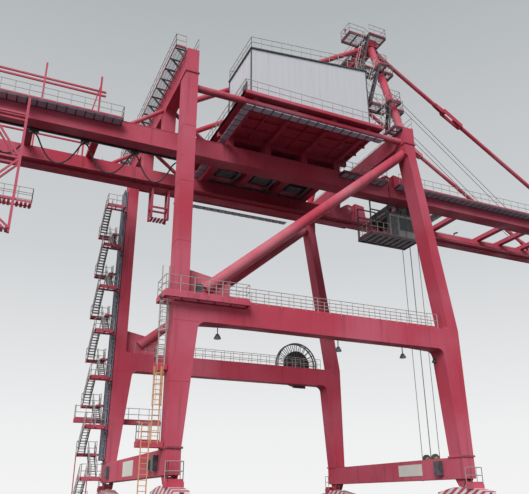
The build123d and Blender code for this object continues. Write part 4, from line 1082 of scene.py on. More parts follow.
class CRANE_OT_apex(bpy.types.Operator):
    """Floors, steep stairs and rails up the near front pipe, and the rope sheaves over the apex"""

    bl_idname = "crane.apex"
    bl_label = "Apex floors"

    def execute(self, context):
        sizes = context.scene.crane_sizes
        floors, rails, steel = Steelwork(), Rails(), Steelwork()
        stair_y = (-8.45, -6.75, -4.90)
        rows = (
            ((17.7, 19.0), (-7.4, -6.2), LOW_FLOOR, "wsn"),
            ((19.0, 19.75), (-7.4, -6.2), LOW_FLOOR, "n"),
            ((20.35, 21.3), (-7.4, -6.2), LOW_FLOOR, "ens"),
            ((19.75, 20.35), (-7.4, -7.05), LOW_FLOOR, ""),
            ((19.0, 20.2), (-8.45, -7.4), LOW_FLOOR, "esw"),
            ((18.5, 19.55), (-5.8, -4.35), HIGH_FLOOR, "wsn"),
            ((19.55, 20.15), (-5.8, -4.35), HIGH_FLOOR, "n"),
            ((20.95, 21.8), (-5.8, -4.35), HIGH_FLOOR, "ens"),
            ((20.15, 20.95), (-5.8, -5.45), HIGH_FLOOR, "s"),
            ((19.55, 20.4), (-6.75, -5.8), HIGH_FLOOR, "esw"),
            ((19.96, 22.03), (-4.9, 4.9), TOP_FLOOR, "ens"),
            ((18.0, 19.96), (-4.25, -2.6), TOP_FLOOR, "wsn"),
        )
        for x, y, top, sides in rows:
            low, high = span(x, y, top)
            grid_floor(floors, low, high, sizes)
            rim(rails, low, high, sizes, sides)
            joists(floors, low, high, 0.9 * REAL, 0.14 * REAL, 0.08 * REAL)
        railing(rails, [real(19.99, -2.5, TOP_FLOOR), real(19.99, 4.9, TOP_FLOOR)], sizes)
        stairs = (
            ((WATER_HEAD - 0.75, WATER_BEAM_TOP - 0.05), (19.0, LOW_FLOOR)),
            ((17.86, LOW_FLOOR), (19.55, HIGH_FLOOR)),
            ((18.6, HIGH_FLOOR), (19.96, TOP_FLOOR)),
        )
        ladder = Steelwork()
        for y, (foot, head) in zip(stair_y, stairs):
            self.stair(ladder, rails, y, foot, head, sizes)
        floors.piece("apex_floors", "frame", FINISHES["grating"], "grating")
        rails.pieces("apex_handrails", "frame")
        ladder.piece("apex_stairs", "frame", FINISHES["grating"], "grating")

        steel.bars([real(*POLE, TOP_FLOOR)], [real(*POLE, TOP_FLOOR + 0.92)], 0.12 * REAL, sides=12)
        turn = np.linspace(0, math.pi, 9)
        ball = np.stack([np.sin(turn) * 0.15, 1.02 - np.cos(turn) * 0.15], axis=1) * REAL
        steel.turned(ball, real(*POLE, TOP_FLOOR), (0, 0, 1), 16)
        shaft = TOP_FLOOR + 0.64
        for side in (-1, 1):
            for offset in (0.8, 1.3):
                y = side * offset
                steel.turned(np.array(SHEAVE_PROFILE) * REAL, real(APEX_X, y, shaft), (0, 1, 0), 28)
            for offset in (0.62, 1.48):
                y = side * offset
                steel.plate(
                    [real(APEX_X - 0.5, y - 0.03, TOP_FLOOR), real(APEX_X + 0.5, y - 0.03, TOP_FLOOR),
                     real(APEX_X + 0.16, y - 0.03, shaft + 0.16),
                     real(APEX_X - 0.16, y - 0.03, shaft + 0.16)],
                    real(0, 0.06, 0),
                )
            steel.bars([real(APEX_X, side * 0.56, shaft)], [real(APEX_X, side * 1.54, shaft)],
                       0.16 * REAL, sides=12)
        steel.piece("apex_sheaves", "frame", FINISHES["machine_grey"], "machine_grey")
        return {"FINISHED"}

    def stair(self, steel, rails, y, foot, head, sizes):
        """A steep stair along X; foot and head are the (X, Z) of its ends."""
        for edge in (y, y + LADDER_STAIR - 0.05):
            corners = [real(foot[0], edge, foot[1]), real(foot[0] + 0.24, edge, foot[1]),
                       real(head[0] + 0.02, edge, head[1] - 0.5), real(head[0], edge, head[1])]
            steel.plate(corners, real(0, 0.05, 0))
        steps = round((head[1] - foot[1]) * REAL / sizes.tread_pitch)
        place = np.array(foot) + (np.array(head) - np.array(foot)) * (np.arange(1, steps) / steps)[:, None]
        count = len(place)
        low = np.stack([place[:, 0], np.full(count, y + 0.05), place[:, 1] - 0.04], axis=1)
        high = np.stack([place[:, 0] + 0.22, np.full(count, y + LADDER_STAIR - 0.05), place[:, 1]], axis=1)
        steel.boxes(low * REAL, high * REAL)
        away = real(-0.45, 0, 0.30)
        for at in (y + 0.025, y + LADDER_STAIR - 0.025):
            a, b = real(foot[0], at, foot[1]), real(head[0], at, head[1])
            posts = a + (b - a) * np.linspace(0, 1, 5)[:, None]
            rails.bars(posts, posts + away, sizes.rail_size, sides=6)
            rails.bars([a + away], [b + away], sizes.rail_size, sides=6)


class CRANE_OT_cages(bpy.types.Operator):
    """Service cages hung under the girders, and the posts and double rail over the back reach"""

    bl_idname = "crane.cages"
    bl_label = "Service cages"

    def execute(self, context):
        sizes = context.scene.crane_sizes
        steel, rails = Steelwork(), Rails()
        back = ((-13.4, -10.78), (-WALK_EDGE + 0.06, -GIRDER_SIDE + 0.06))
        self.cage(steel, *back, 18.5, (GIRDER_TOP - 0.45, GIRDER_BOTTOM), (2.2, 5.4, 9.0), True)
        low, high = span((back[0][0], back[0][1] + 1.23), back[1], 20.63)
        slabs(steel, low, high, 0.28 * REAL, 0.10 * REAL)
        rim(rails, low, high, sizes, "sen")
        far = ((0.6, 2.1), (GIRDER_SIDE - 1.0, GIRDER_SIDE - 0.06))
        self.cage(steel, *far, 24.7, (GIRDER_BOTTOM, GIRDER_BOTTOM), (1.1,), False)
        for side, tall in ((-1, 33.0), (1, 31.7)):
            y = side * 3.9
            for z in (31.25, 31.60):
                steel.bars([real(BACK_END + 0.3, y, z)], [real(-5.3, y, z)], 0.13 * REAL)
            for x in (-13.9, -9.95, -5.75):
                steel.bars([real(x, y, GIRDER_TOP - 0.02)], [real(x, y, tall)], 0.14 * REAL)
            steel.bars([real(-6.3, y, GIRDER_TOP - 0.02)], [real(-5.8, y, 32.0)], 0.10 * REAL)
        steel.piece("service_cages", "frame", FINISHES["crane_red"], "crane_red")
        rails.pieces("cage_rails", "frame")
        return {"FINISHED"}

    def cage(self, steel, x, y, floor, tops, rings, braced):
        """Corner posts, square rings at the given rises, and a zigzag of braces up the long sides."""
        for b, top in zip(y, tops):
            for a in x:
                steel.bars([real(a, b, floor)], [real(a, b, top)], CAGE_BAR * REAL)
        levels = [0.05, *rings]
        for rise in rings:
            z = floor + rise
            corners = [real(x[0], y[0], z), real(x[1], y[0], z), real(x[1], y[1], z), real(x[0], y[1], z)]
            steel.bars(corners, corners[1:] + corners[:1], 0.14 * REAL)
        for i, (low, high) in enumerate(zip(levels[:-1], levels[1:]) if braced else ()):
            a, b = x if i % 2 else x[::-1]
            steel.bars(
                [real(a, side, floor + low) for side in y], [real(b, side, floor + high) for side in y],
                0.13 * REAL,
            )
        low, high = span(x, y, floor + FLOOR_DEPTH)
        slabs(steel, low, high, 0.28 * REAL, 0.10 * REAL)


class CRANE_OT_reel(bpy.types.Operator):
    """The cable reel on the far portal beam: rims, spokes, hub, wound cable and stand"""

    bl_idname = "crane.reel"
    bl_label = "Cable reel"

    def execute(self, context):
        place = real(*REEL_PLACE)
        steel = Steelwork()
        turn = np.arange(24) / 24 * 2 * math.pi
        for side in (-1, 1):
            y = side * (REEL_HALF - 0.04)
            ring = [(REEL_RADIUS - 0.12, y - 0.04), (REEL_RADIUS, y - 0.04), (REEL_RADIUS, y + 0.04),
                    (REEL_RADIUS - 0.12, y + 0.04), (REEL_RADIUS - 0.12, y - 0.04)]
            steel.turned(np.array(ring) * REAL, place, (0, 1, 0), 64)
            inner = np.stack([np.cos(turn) * 0.55, np.full(24, y), np.sin(turn) * 0.55], axis=1) * REAL
            outer = np.stack([np.cos(turn) * 2.2, np.full(24, y), np.sin(turn) * 2.2], axis=1) * REAL
            steel.bars(place + inner, place + outer, 0.055 * REAL)
        rungs = np.stack([np.cos(turn) * 2.19, np.full(24, -REEL_HALF), np.sin(turn) * 2.19], axis=1) * REAL
        steel.bars(place + rungs, place + rungs + real(0, 2 * REEL_HALF, 0), 0.05 * REAL)
        steel.turned(np.array(HUB_PROFILE) * REAL, place, (0, 1, 0), 32)
        steel.bars([place - real(0, 0.59, 0)], [place], 0.36 * REAL, sides=16)
        x, face = REEL_PLACE[0], LEG_OUTER
        steel.plate(
            [real(x - 0.7, face, PORTAL_BOTTOM + 0.3), real(x + 0.7, face, PORTAL_BOTTOM + 0.3),
             real(x + 0.3, face, REEL_PLACE[2] + 0.35), real(x - 0.3, face, REEL_PLACE[2] + 0.35)],
            real(0, 0.17, 0),
        )
        steel.piece("cable_reel", "frame", FINISHES["machine_grey"], "machine_grey")

        wound = Steelwork()
        layers = np.arange(0.64, 1.42, 0.09)
        half = REEL_HALF - 0.10
        crests = np.tile([[half, half + 0.03]], (len(layers), 1))
        front = np.stack([layers[:, None] + [[0.0, 0.045]], crests], axis=2).reshape(-1, 2)
        back = front[::-1] * [1, -1]
        profile = np.concatenate([front, back, front[:1]])
        wound.turned(profile[::-1] * REAL, place, (0, 1, 0), 64)
        wound.piece("reel_cable", "frame", FINISHES["buffer_rubber"], "buffer_rubber")
        return {"FINISHED"}


class CRANE_OT_festoon(bpy.types.Operator):
    """The festoon cable, its rail and the carriers that it hangs from in loops"""

    bl_idname = "crane.festoon"
    bl_label = "Festoon"

    def execute(self, context):
        diameter = 0.12 * REAL
        ends = np.array(FESTOON_ENDS) * REAL
        hang, top = FESTOON_Y * REAL, FESTOON_TOP * REAL
        share = np.arange(9) / 8
        sag = 4 * FESTOON_SAG * REAL * share * (1 - share)
        loops = [
            np.stack([a + (b - a) * share, np.full(9, hang), top - sag], axis=1)
            for a, b in zip(ends[::2], ends[1::2])
        ]
        clamp_top = FESTOON_TOP + 0.38
        clamps = real(-14.1, FESTOON_Y, clamp_top), real(1.6, FESTOON_Y, clamp_top)
        route = np.concatenate([clamps[:1], *loops, clamps[1:]])
        curve = bpy.data.curves.new("festoon_loops", "CURVE")
        curve.dimensions = "3D"
        curve.bevel_depth = diameter / 2
        curve.bevel_resolution = 3
        curve.use_fill_caps = True
        spline = curve.splines.new("NURBS")
        spline.points.add(len(route) - 1)
        spline.points.foreach_set("co", np.hstack([route, np.ones((len(route), 1))]).ravel())
        spline.order_u = 3
        spline.use_endpoint_u = True
        spline.resolution_u = 8
        curve.materials.append(FINISHES["buffer_rubber"])
        cable = bpy.data.objects.new("festoon_loops", curve)
        context.scene.collection.objects.link(cable)
        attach(cable, "frame")
        steel = Steelwork()
        rail = GIRDER_BOTTOM
        steel.boxes([real(-14.4, FESTOON_Y - 0.05, rail)], [real(1.9, FESTOON_Y + 0.05, rail + 0.03)])
        steel.boxes([real(-14.4, FESTOON_Y - 0.01, rail)], [real(1.9, FESTOON_Y + 0.01, rail + 0.20)])
        for x in FESTOON_CARRIERS:
            steel.boxes([real(x - 0.35, FESTOON_Y - 0.13, rail - 0.22)],
                        [real(x + 0.35, FESTOON_Y + 0.13, rail - 0.06)])
            for way in (-0.22, 0.22):
                steel.turned(np.array(CARRIER_WHEEL_PROFILE) * REAL,
                             real(x + way, FESTOON_Y, rail - 0.09), (0, 1, 0), 14)
        for x in (-14.1, 1.6):
            steel.boxes([real(x - 0.10, FESTOON_Y - 0.12, rail - 0.05)],
                        [real(x + 0.10, FESTOON_Y + 0.12, rail + 0.20)])
        steel.piece("festoon_rail", "frame", FINISHES["machine_grey"], "machine_grey")
        return {"FINISHED"}


class CRANE_OT_deck(bpy.types.Operator):
    """Beams and edge of the machinery deck, the panels under it, whose pale colour is painted sky light seen
    through the grating, and the machinery between the girders
    """

    bl_idname = "crane.deck"
    bl_label = "Machinery deck"

    def execute(self, context):
        low, high = node_box("machinery_deck")
        under = high[2] - 0.22 * REAL
        steel = Steelwork()
        y_end = high[1] - 0.75 * REAL
        x = np.linspace(low[0] + 0.8 * REAL, high[0] - 0.3 * REAL, 7)
        start = np.stack([x, np.full(7, -y_end), np.full(7, under - 0.10 * REAL)], axis=1)
        end = start * [1, -1, 1]
        steel.bars(start, end, 0.12 * REAL, 0.20 * REAL)
        y = np.array([-8.75, -6.6, -5.2, -1.1, 1.1, 5.2, 6.6, 8.75]) * REAL
        start = np.stack([np.full(8, low[0] + 0.75 * REAL), y, np.full(8, under - 0.12 * REAL)], axis=1)
        end = start.copy()
        end[:, 0] = high[0]
        steel.bars(start, end, 0.12 * REAL, 0.22 * REAL)
        for at in np.arange(low[0] + 1.5 * REAL, high[0], 1.5 * REAL):
            steel.boxes([(at, low[1] + LIP, high[2])], [(at + 2 * LIP, high[1] - LIP, high[2] + LIP)])
        for at in np.arange(low[1] + 3.0 * REAL, high[1], 3.0 * REAL):
            steel.boxes([(low[0] + LIP, at, high[2])], [(high[0] - LIP, at + 2 * LIP, high[2] + LIP)])
        # Dark joints under the deck's edges, and below them panels whose pale bluish colour is painted sky
        # light seen through the grating
        joints, painted_sky_panels = Steelwork(), Steelwork()
        border = 0.62 * REAL
        for x_row, y_row in (
            ((low[0], high[0]), (low[1], low[1] + border)),
            ((low[0], high[0]), (high[1] - border, high[1])),
            ((low[0], low[0] + border), (low[1] + 0.7 * REAL, high[1] - 0.7 * REAL)),
        ):
            a = np.array([x_row[0], y_row[0], low[2] - 0.03 * REAL])
            b = np.array([x_row[1], y_row[1], low[2]])
            joints.boxes([a], [b])
            slabs(painted_sky_panels, a - real(0, 0, 0.04), b - real(0, 0, 0.03), 0.80 * REAL, 0.15 * REAL)
        joints.piece("deck_edge_joints", "frame", FINISHES["grating"], "grating")
        painted_sky_panels.piece("deck_edge_painted_sky_panels", "frame", FINISHES["painted_sky_panel"], "grating")
        proud, level = 0.02 * REAL, high[2] - 0.06 * REAL
        for side in (-1, 1):
            for edge in (low[0] - proud, high[0] + proud):
                steel.bars([(edge, low[1], level)], [(edge, high[1], level)], 0.05 * REAL, 0.24 * REAL)
            edge = side * (high[1] + proud)
            steel.bars([(low[0], edge, level)], [(high[0], edge, level)], 0.05 * REAL, 0.24 * REAL)
        steel.piece("deck_beams", "frame", FINISHES["crane_red"], "crane_red")

        gear = Steelwork()
        bed, skid, rail, half = 29.60, 29.50, 29.45, 2.75
        for x0, x1, y0, y1, tall in (
            (6.0, 8.0, -1.9, -0.4, 0.75), (6.2, 7.6, 0.5, 1.9, 0.6), (9.3, 11.6, -2.1, -0.9, 0.8),
            (9.6, 11.2, 0.2, 1.8, 0.7), (13.0, 15.2, -1.8, 0.2, 0.75), (13.4, 14.8, 0.9, 2.1, 0.55),
        ):
            gear.boxes([real(x0, y0, bed)], [real(x1, y1, bed + tall)])
            gear.turned(np.array(DRUM_PROFILE) * REAL,
                        real(x1 + 0.5, (y0 + y1) / 2 - 0.4, bed + 0.4), (0, 1, 0), 18)
        for x0 in (5.6, 9.1, 12.8):
            for x in (x0, x0 + 2.3):
                gear.boxes([real(x, -2.6, skid)], [real(x + 0.25, 2.6, skid + 0.16)])
        gear.bars(
            [real(5.4, side, rail) for side in (-half, half)],
            [real(15.9, side, rail) for side in (-half, half)],
            0.14 * REAL, 0.2 * REAL,
        )
        gear.piece("deck_machinery", "frame", FINISHES["machine_grey"], "machine_grey")
        return {"FINISHED"}


class CRANE_OT_house(bpy.types.Operator):
    """Cladding ribs, edges, doors, louvres, roof rails and vents of the machinery house"""

    bl_idname = "crane.house"
    bl_label = "Machinery house"

    def execute(self, context):
        sizes = context.scene.crane_sizes
        low, high = node_box("machinery_house")
        roof_low, roof_high = node_box("house_roof")
        fall = 1.25 * REAL
        length = high[0] - low[0]

        def roof_at(x):
            return high[2] - fall + fall * (x - low[0]) / length

        ribs = Steelwork()
        proud = 0.012 * REAL
        x = np.arange(low[0] + 0.3 * REAL, high[0], 0.6 * REAL)
        for y in (low[1] - proud, high[1] + proud):
            foot = np.stack([x, np.full(len(x), y), np.full(len(x), low[2])], axis=1)
            head = foot.copy()
            head[:, 2] = roof_at(x)
            ribs.bars(foot, head, 0.03 * REAL, 0.028 * REAL)
        y = np.arange(low[1] + 0.3 * REAL, high[1], 0.6 * REAL)
        for edge in (low[0] - proud, high[0] + proud):
            foot = np.stack([np.full(len(y), edge), y, np.full(len(y), low[2])], axis=1)
            head = foot.copy()
            head[:, 2] = roof_at(edge)
            ribs.bars(foot, head, 0.03 * REAL, 0.028 * REAL)
        ribs.piece("house_ribs", "frame", FINISHES["house_sheet"], "house_sheet")

        trim = Steelwork()
        for y in (low[1] - 0.03 * REAL, high[1] + 0.03 * REAL):
            trim.bars([(low[0], y, low[2] + 0.12 * REAL)], [(high[0], y, low[2] + 0.12 * REAL)],
                      0.05 * REAL, 0.22 * REAL)
        for edge in (low[0] - 0.03 * REAL, high[0] + 0.03 * REAL):
            trim.bars([(edge, low[1], low[2] + 0.12 * REAL)], [(edge, high[1], low[2] + 0.12 * REAL)],
                      0.05 * REAL, 0.22 * REAL)
            for y in (low[1], high[1]):
                trim.bars([(edge, y, low[2])], [(edge, y, roof_at(edge))], 0.09 * REAL)
        for y0, y1 in ((-8.0, -7.05), (-5.6, -4.65)):
            edge = low[0] - 0.04 * REAL
            trim.boxes([(edge, y0 * REAL, low[2] + 0.1 * REAL)], [(low[0], y1 * REAL, low[2] + 2.2 * REAL)])
        for x0 in (7.0, 10.2, 13.4):
            for i in range(6):
                z = low[2] + (2.2 + 0.22 * i) * REAL
                trim.boxes([(x0 * REAL, high[1], z)],
                           [((x0 + 1.5) * REAL, high[1] + 0.07 * REAL, z + 0.06 * REAL)])
        trim.piece("house_edges", "frame", FINISHES["house_trim"], "house_trim")

        rails = Steelwork()
        inset = 0.1 * REAL
        ends = (
            (roof_low[0] + inset, roof_high[2] - fall - 0.02 * REAL),
            (roof_high[0] - inset, roof_high[2]),
        )
        for y in (roof_low[1] + inset, roof_high[1] - inset):
            railing(rails, [(x, y, z) for x, z in ends], sizes, kick=False)
        for x, z in ends:
            railing(rails, [(x, roof_low[1] + inset, z), (x, roof_high[1] - inset, z)], sizes, kick=False)
        rails.piece("house_roof_rails", "frame", FINISHES["handrail"], "grating")

        vents = Steelwork()
        for x0, y0 in ((7.2, -6.9), (9.8, -6.1), (12.6, -6.9), (14.8, -5.5)):
            z = roof_at(x0 * REAL) + 0.05 * REAL
            vents.turned(np.array(VENT_PROFILE) * REAL, (x0 * REAL, y0 * REAL, z), (0, 0, 1), 20)
        vents.piece("roof_vents", "frame", FINISHES["house_sheet"], "house_sheet")
        return {"FINISHED"}


class CRANE_OT_cab(bpy.types.Operator):
    """Windows, frames, roof and rails of the driver's cab, and the frames of its platform"""

    bl_idname = "crane.cab"
    bl_label = "Driver's cab"

    def execute(self, context):
        sizes = context.scene.crane_sizes
        low, high = node_box("operator_cab")
        glass, frames = Steelwork(), Steelwork()
        proud = 0.02 * REAL
        sill, head = low[2] + 0.75 * REAL, high[2] - 0.30 * REAL
        for y in (low[1] - proud, high[1]):
            for x0, x1 in ((1.15, 2.0), (2.1, 2.98)):
                a = (low[0] + x0 * REAL, y, sill)
                b = (low[0] + x1 * REAL, y + proud, head)
                glass.boxes([a], [b])
                self.surround(frames, a, b, 1)
            a = (low[0] + 0.18 * REAL, y, low[2] + 0.12 * REAL)
            b = (low[0] + 0.95 * REAL, y + proud, low[2] + 2.05 * REAL)
            frames.boxes([a], [b])
        for y0, y1 in ((0.12, 0.70), (0.78, 1.36), (1.44, 1.98)):
            a = (high[0], low[1] + y0 * REAL, low[2] + 0.22 * REAL)
            b = (high[0] + proud, low[1] + y1 * REAL, head)
            glass.boxes([a], [b])
            self.surround(frames, a, b, 0)
        a = (low[0] - proud, low[1] + 0.35 * REAL, sill)
        b = (low[0], low[1] + 1.75 * REAL, head)
        glass.boxes([a], [b])
        self.surround(frames, a, b, 0)
        glass.boxes([(high[0] - 1.3 * REAL, low[1] + 0.3 * REAL, low[2] - proud)],
                    [(high[0] - 0.1 * REAL, high[1] - 0.3 * REAL, low[2])])
        frames.boxes([(low[0] - 0.06 * REAL, low[1] - 0.06 * REAL, high[2])],
                     [(high[0] + 0.06 * REAL, high[1] + 0.06 * REAL, high[2] + 0.07 * REAL)])
        frames.boxes([(low[0] + 0.5 * REAL, low[1] + 0.5 * REAL, high[2] + 0.07 * REAL)],
                     [(low[0] + 1.5 * REAL, low[1] + 1.4 * REAL, high[2] + 0.42 * REAL)])
        glass.piece("cab_glass", "trolley", FINISHES["cab_glass"], "cab_paint")
        frames.piece("cab_frames", "trolley", FINISHES["machine_grey"], "machine_grey")

        rails, dark = Rails(), Steelwork()
        floor_low, floor_high = node_box("cab_platform")
        rim(rails, floor_low, floor_high, sizes, "w")
        gallery = floor_high.copy()
        gallery[0] = low[0] - 0.05 * REAL
        rim(rails, floor_low, gallery, sizes, "ns")
        joists(dark, floor_low, floor_high, 0.7 * REAL, 0.10 * REAL, 0.07 * REAL)
        for x in (floor_low[0] + 0.1 * REAL, gallery[0]):
            for y in (floor_low[1] + 0.1 * REAL, floor_high[1] - 0.1 * REAL):
                dark.bars([(x, y, floor_high[2])], [(x, y, high[2] + 0.9 * REAL)], 0.10 * REAL)
        for y in (floor_low[1] + 0.1 * REAL, floor_high[1] - 0.1 * REAL):
            for z in (high[2], high[2] + 0.9 * REAL):
                dark.bars([(floor_low[0] + 0.1 * REAL, y, z)], [(gallery[0], y, z)], 0.10 * REAL)
        rails.pieces("cab_rails", "trolley")
        dark.piece("cab_platform_frames", "trolley", FINISHES["grating"], "grating")
        return {"FINISHED"}

    def surround(self, frames, a, b, flat):
        """Four thin bars round a pane whose two corners differ along every axis but its flat one."""
        other = 1 - flat
        depth = (a[flat] + b[flat]) / 2
        for z in (a[2], b[2]):
            start, end = [0, 0, z], [0, 0, z]
            start[flat] = end[flat] = depth
            start[other], end[other] = a[other], b[other]
            frames.bars([start], [end], 0.06 * REAL)
        for at in (a[other], b[other]):
            start, end = [0, 0, a[2]], [0, 0, b[2]]
            start[flat] = end[flat] = depth
            start[other] = end[other] = at
            frames.bars([start], [end], 0.06 * REAL)


class CRANE_OT_trolley(bpy.types.Operator):
    """Drives and buffers of the trolley, and the arms and corner locks of the spreader"""

    bl_idname = "crane.trolley"
    bl_label = "Trolley and spreader"

    def execute(self, context):
        low, high = node_box("trolley_frame")
        gear = Steelwork()
        for x in (low[0] + 1.3 * REAL, high[0] - 1.3 * REAL):
            for side in (-1, 1):
                y = side * 1.2 * REAL
                gear.boxes([(x - 0.35 * REAL, y - 0.25 * REAL, high[2])],
                           [(x + 0.35 * REAL, y + 0.25 * REAL, high[2] + 0.3 * REAL)])
                gear.turned(np.array(MOTOR_PROFILE) * REAL,
                            (x, y + side * 0.55 * REAL, high[2] + 0.17 * REAL), (0, 1, 0), 16)
        for side in (-1, 1):
            for x in (low[0] - 0.12 * REAL, high[0]):
                y = side * 1.9 * REAL
                gear.boxes([(x, y - 0.14 * REAL, low[2] + 0.1 * REAL)],
                           [(x + 0.12 * REAL, y + 0.14 * REAL, low[2] + 0.4 * REAL)])
        gear.piece("trolley_drives", "trolley", FINISHES["machine_grey"], "machine_grey")

        arms = Steelwork()
        low, high = node_box("spreader")
        middle = (low + high) / 2
        level = high[2] - 0.30 * REAL
        for side in (-1, 1):
            for x in (middle[0] - 0.28 * REAL, middle[0] + 0.28 * REAL):
                arms.bars([(x, middle[1], level)], [(x, side * (high[1] - 0.3 * REAL), level)],
                          0.20 * REAL, 0.26 * REAL)
            for x in (low[0] + 0.10 * REAL, high[0] - 0.10 * REAL):
                y = side * (high[1] - 0.09 * REAL)
                arms.turned(np.array(LOCK_PROFILE) * REAL, (x, y, low[2]), (0, 0, 1), 12)
        arms.piece("spreader_arms", "hoist", FINISHES["spreader_yellow"], "spreader_yellow")
        return {"FINISHED"}


def stay_pipe(steel, pins, side, width, forks, spreads):
    """A round pipe between two pins: cones at its ends run into two fork plates, round about each pin.

    The pipe is a surface of revolution about the line of the pins. A fork plate is half a disc
    about its pin, drawn out to the collar on the pipe; forks holds how far each pair of plates
    reaches, and spreads how far each plate stands from the middle."""
    a, b = (np.array([x, side, z]) * REAL for x, z in pins)
    length = np.linalg.norm(b - a)
    along = (b - a) / length
    thick, cone, skin = width * REAL / 2, 0.45 * REAL, 0.06 * REAL
    profile = []
    for fork, spread in zip(forks, spreads):
        reach_out = fork * REAL
        collar = max(thick * 1.08, spread * REAL + skin / 2)
        profile.append([
            (0, reach_out * 0.7), (thick * 0.45, reach_out * 0.7),
            (thick, reach_out + cone), (collar, reach_out + cone * 1.1),
            (collar, reach_out + cone * 1.4), (thick, reach_out + cone * 1.5),
        ])
    far = [(radius, length - height) for radius, height in profile[1]]
    steel.turned(profile[0] + far[::-1], a, along, 24)
    turn = np.linspace(math.pi / 2, 3 * math.pi / 2, 13)
    radius = 0.26 * REAL
    for pin, way, fork, spread in zip((a, b), (along, -along), forks, spreads):
        across = np.cross(way, [0, 1, 0])
        arc = pin + (way[None] * np.cos(turn)[:, None] + across[None] * np.sin(turn)[:, None]) * radius
        neck = pin + way * (fork * REAL + cone * 1.25) + np.array([-1, 1])[:, None] * across * radius * 0.75
        outline = np.concatenate([arc, neck])
        for offset in (-spread, spread):
            steel.plate(outline + [0, offset * REAL - skin / 2, 0], (0, skin, 0))


class CRANE_OT_forestays(bpy.types.Operator):
    """Round stays between the pins, with forked ends, in place of the frame's plain links"""

    bl_idname = "crane.forestays"
    bl_label = "Forestays"

    def execute(self, context):
        fold = tuple(t + STAY_SHARE * (f - t) for t, f in zip(STAY_TOP, STAY_FOOT))
        for name, node, body, pins, forks, spreads in (
            ("upper_stay_pipes", "forestay_upper_links", "stay_upper", (STAY_TOP, fold),
             (0.75, 0.75), (0.13, 0.13)),
            ("lower_stay_pipes", "forestay_lower_links", "stay_lower", (fold, STAY_FOOT),
             (1.9, 0.75), (0.30, 0.13)),
        ):
            steel = Steelwork()
            for side in (-GIRDER_Y, GIRDER_Y):
                stay_pipe(steel, pins, side, STAY_WIDTH, forks, spreads)
            steel.piece(name, body, FINISHES["stay_red"], "stay_red", (node,))
        return {"FINISHED"}


class CRANE_OT_legs(bpy.types.Operator):
    """Flange bolts, weld seams, lamps, cabinets and bare plates of the lower frame"""

    bl_idname = "crane.legs"
    bl_label = "Legs and sills"

    def execute(self, context):
        red, grey = Steelwork(), Steelwork()
        for side in (-1, 1):
            y = sorted(side * at for at in LEG_PLATES)
            beam = sorted(side * at for at in BEAM_PLATES)
            under = PORTAL_TOP - PORTAL_DEPTH
            for z in LEG_SEAMS:
                flare = 0.78 * (z - FLANGE_Z) / 7.72 if z < under else 0.048
                red.boxes([real(LAND_PLATE, y[0], z) - [LIP, LIP, 0]],
                          [real(0.426 + flare, y[1], z) + [LIP, LIP, SEAM]])
            low, high = real(LAND_PLATE, y[0], 12.15), real(1.206, y[1], 12.23)
            red.boxes([low - [LIP, LIP, 0]], [high + [LIP, LIP, 0]])
            for x in BEAM_SEAMS:
                red.boxes([real(x, beam[0], under) - [0, LIP, LIP]],
                          [real(x, beam[1], PORTAL_TOP) + [SEAM, LIP, LIP]])
            for centre, half, z, count, lines in (
                (-0.024, 0.52, FLANGE_Z - 0.10, 14, BOLT_Y), (21.975, 0.60, FLANGE_Z - 0.10, 14, BOLT_Y),
                (0.0, 0.5, 31.31 - 0.08, 10, BOLT_Y[:1]), (19.725, 0.5, 30.03 - 0.08, 10, BOLT_Y[:1]),
            ):
                x = np.linspace(centre - half, centre + half, count)
                for line in lines:
                    foot = np.stack([x, np.full(count, side * line), np.full(count, z)], axis=1) * REAL
                    grey.bars(foot, foot + [0, 0, 0.13 * REAL], 0.05 * REAL, sides=6)
        red.piece("leg_seams", "frame", FINISHES["crane_red"], "crane_red")

        for x, y, z in ((20.9, -8.43, 12.1), (17.6, -8.8, 12.1), (12.0, -8.8, 12.1), (2.8, -8.8, 12.1)):
            grey.bars([real(x, y, z + 0.1)], [real(x, y, z - 0.45)], 0.05 * REAL)
            grey.turned(np.array(LAMP_PROFILE) * REAL, real(x, y, z - 0.42), (0, 0, 1), 16)
        for x0, x1, y0, y1, z0, z1 in (
            (-0.78, -0.48, -7.9, -7.3, 3.2, 4.1), (-0.78, -0.48, -6.6, -6.2, 3.3, 3.9),
            (21.05, 21.44, -7.4, -6.8, 3.2, 4.2), (-0.72, -0.48, 6.3, 7.0, 3.2, 4.1),
            (22.51, 22.8, -7.7, -7.1, 3.2, 4.1), (0.9, 1.3, -9.9, -9.62, 13.8, 14.6),
        ):
            grey.boxes([real(x0, y0, z0)], [real(x1, y1, z1)])
        grey.piece("frame_fittings", "frame", FINISHES["machine_grey"], "machine_grey")

        plates = Steelwork()
        plates.boxes([real(21.43, -4.9, 3.25)], [real(21.45, -1.9, 4.10)])
        plates.boxes([real(LAND_PLATE - 0.021, -1.55, 3.14)], [real(LAND_PLATE, 1.50, 4.16)])
        plates.piece("bare_plates", "frame", FINISHES["plate"], "house_sheet")
        return {"FINISHED"}


class CRANE_OT_bogies(bpy.types.Operator):
    """Caps on the axles and the pins of the wheel assemblies"""

    bl_idname = "crane.bogies"
    bl_label = "Wheel assemblies"

    def execute(self, context):
        steel = Steelwork()
        for low, high in loose_boxes("rail_wheels"):
            centre = (low + high) / 2
            for way in (-1, 1):
                steel.turned(np.array(AXLE_CAP_PROFILE) * REAL,
                             centre + [way * 0.30 * REAL, 0, 0], (way, 0, 0), 14)
        for low, high in loose_boxes("sub_equalizers"):
            centre = (low + high) / 2
            for offset in (-1.1, 1.1):
                for way in (-1, 1):
                    pin = (centre[0] + way * 0.39 * REAL, centre[1] + offset * REAL, 1.02 * REAL)
                    steel.turned(np.array(PIN_CAP_PROFILE) * REAL, pin, (way, 0, 0), 14)
        steel.piece("axle_caps", "frame", FINISHES["pin_steel"], "pin_steel")
        return {"FINISHED"}


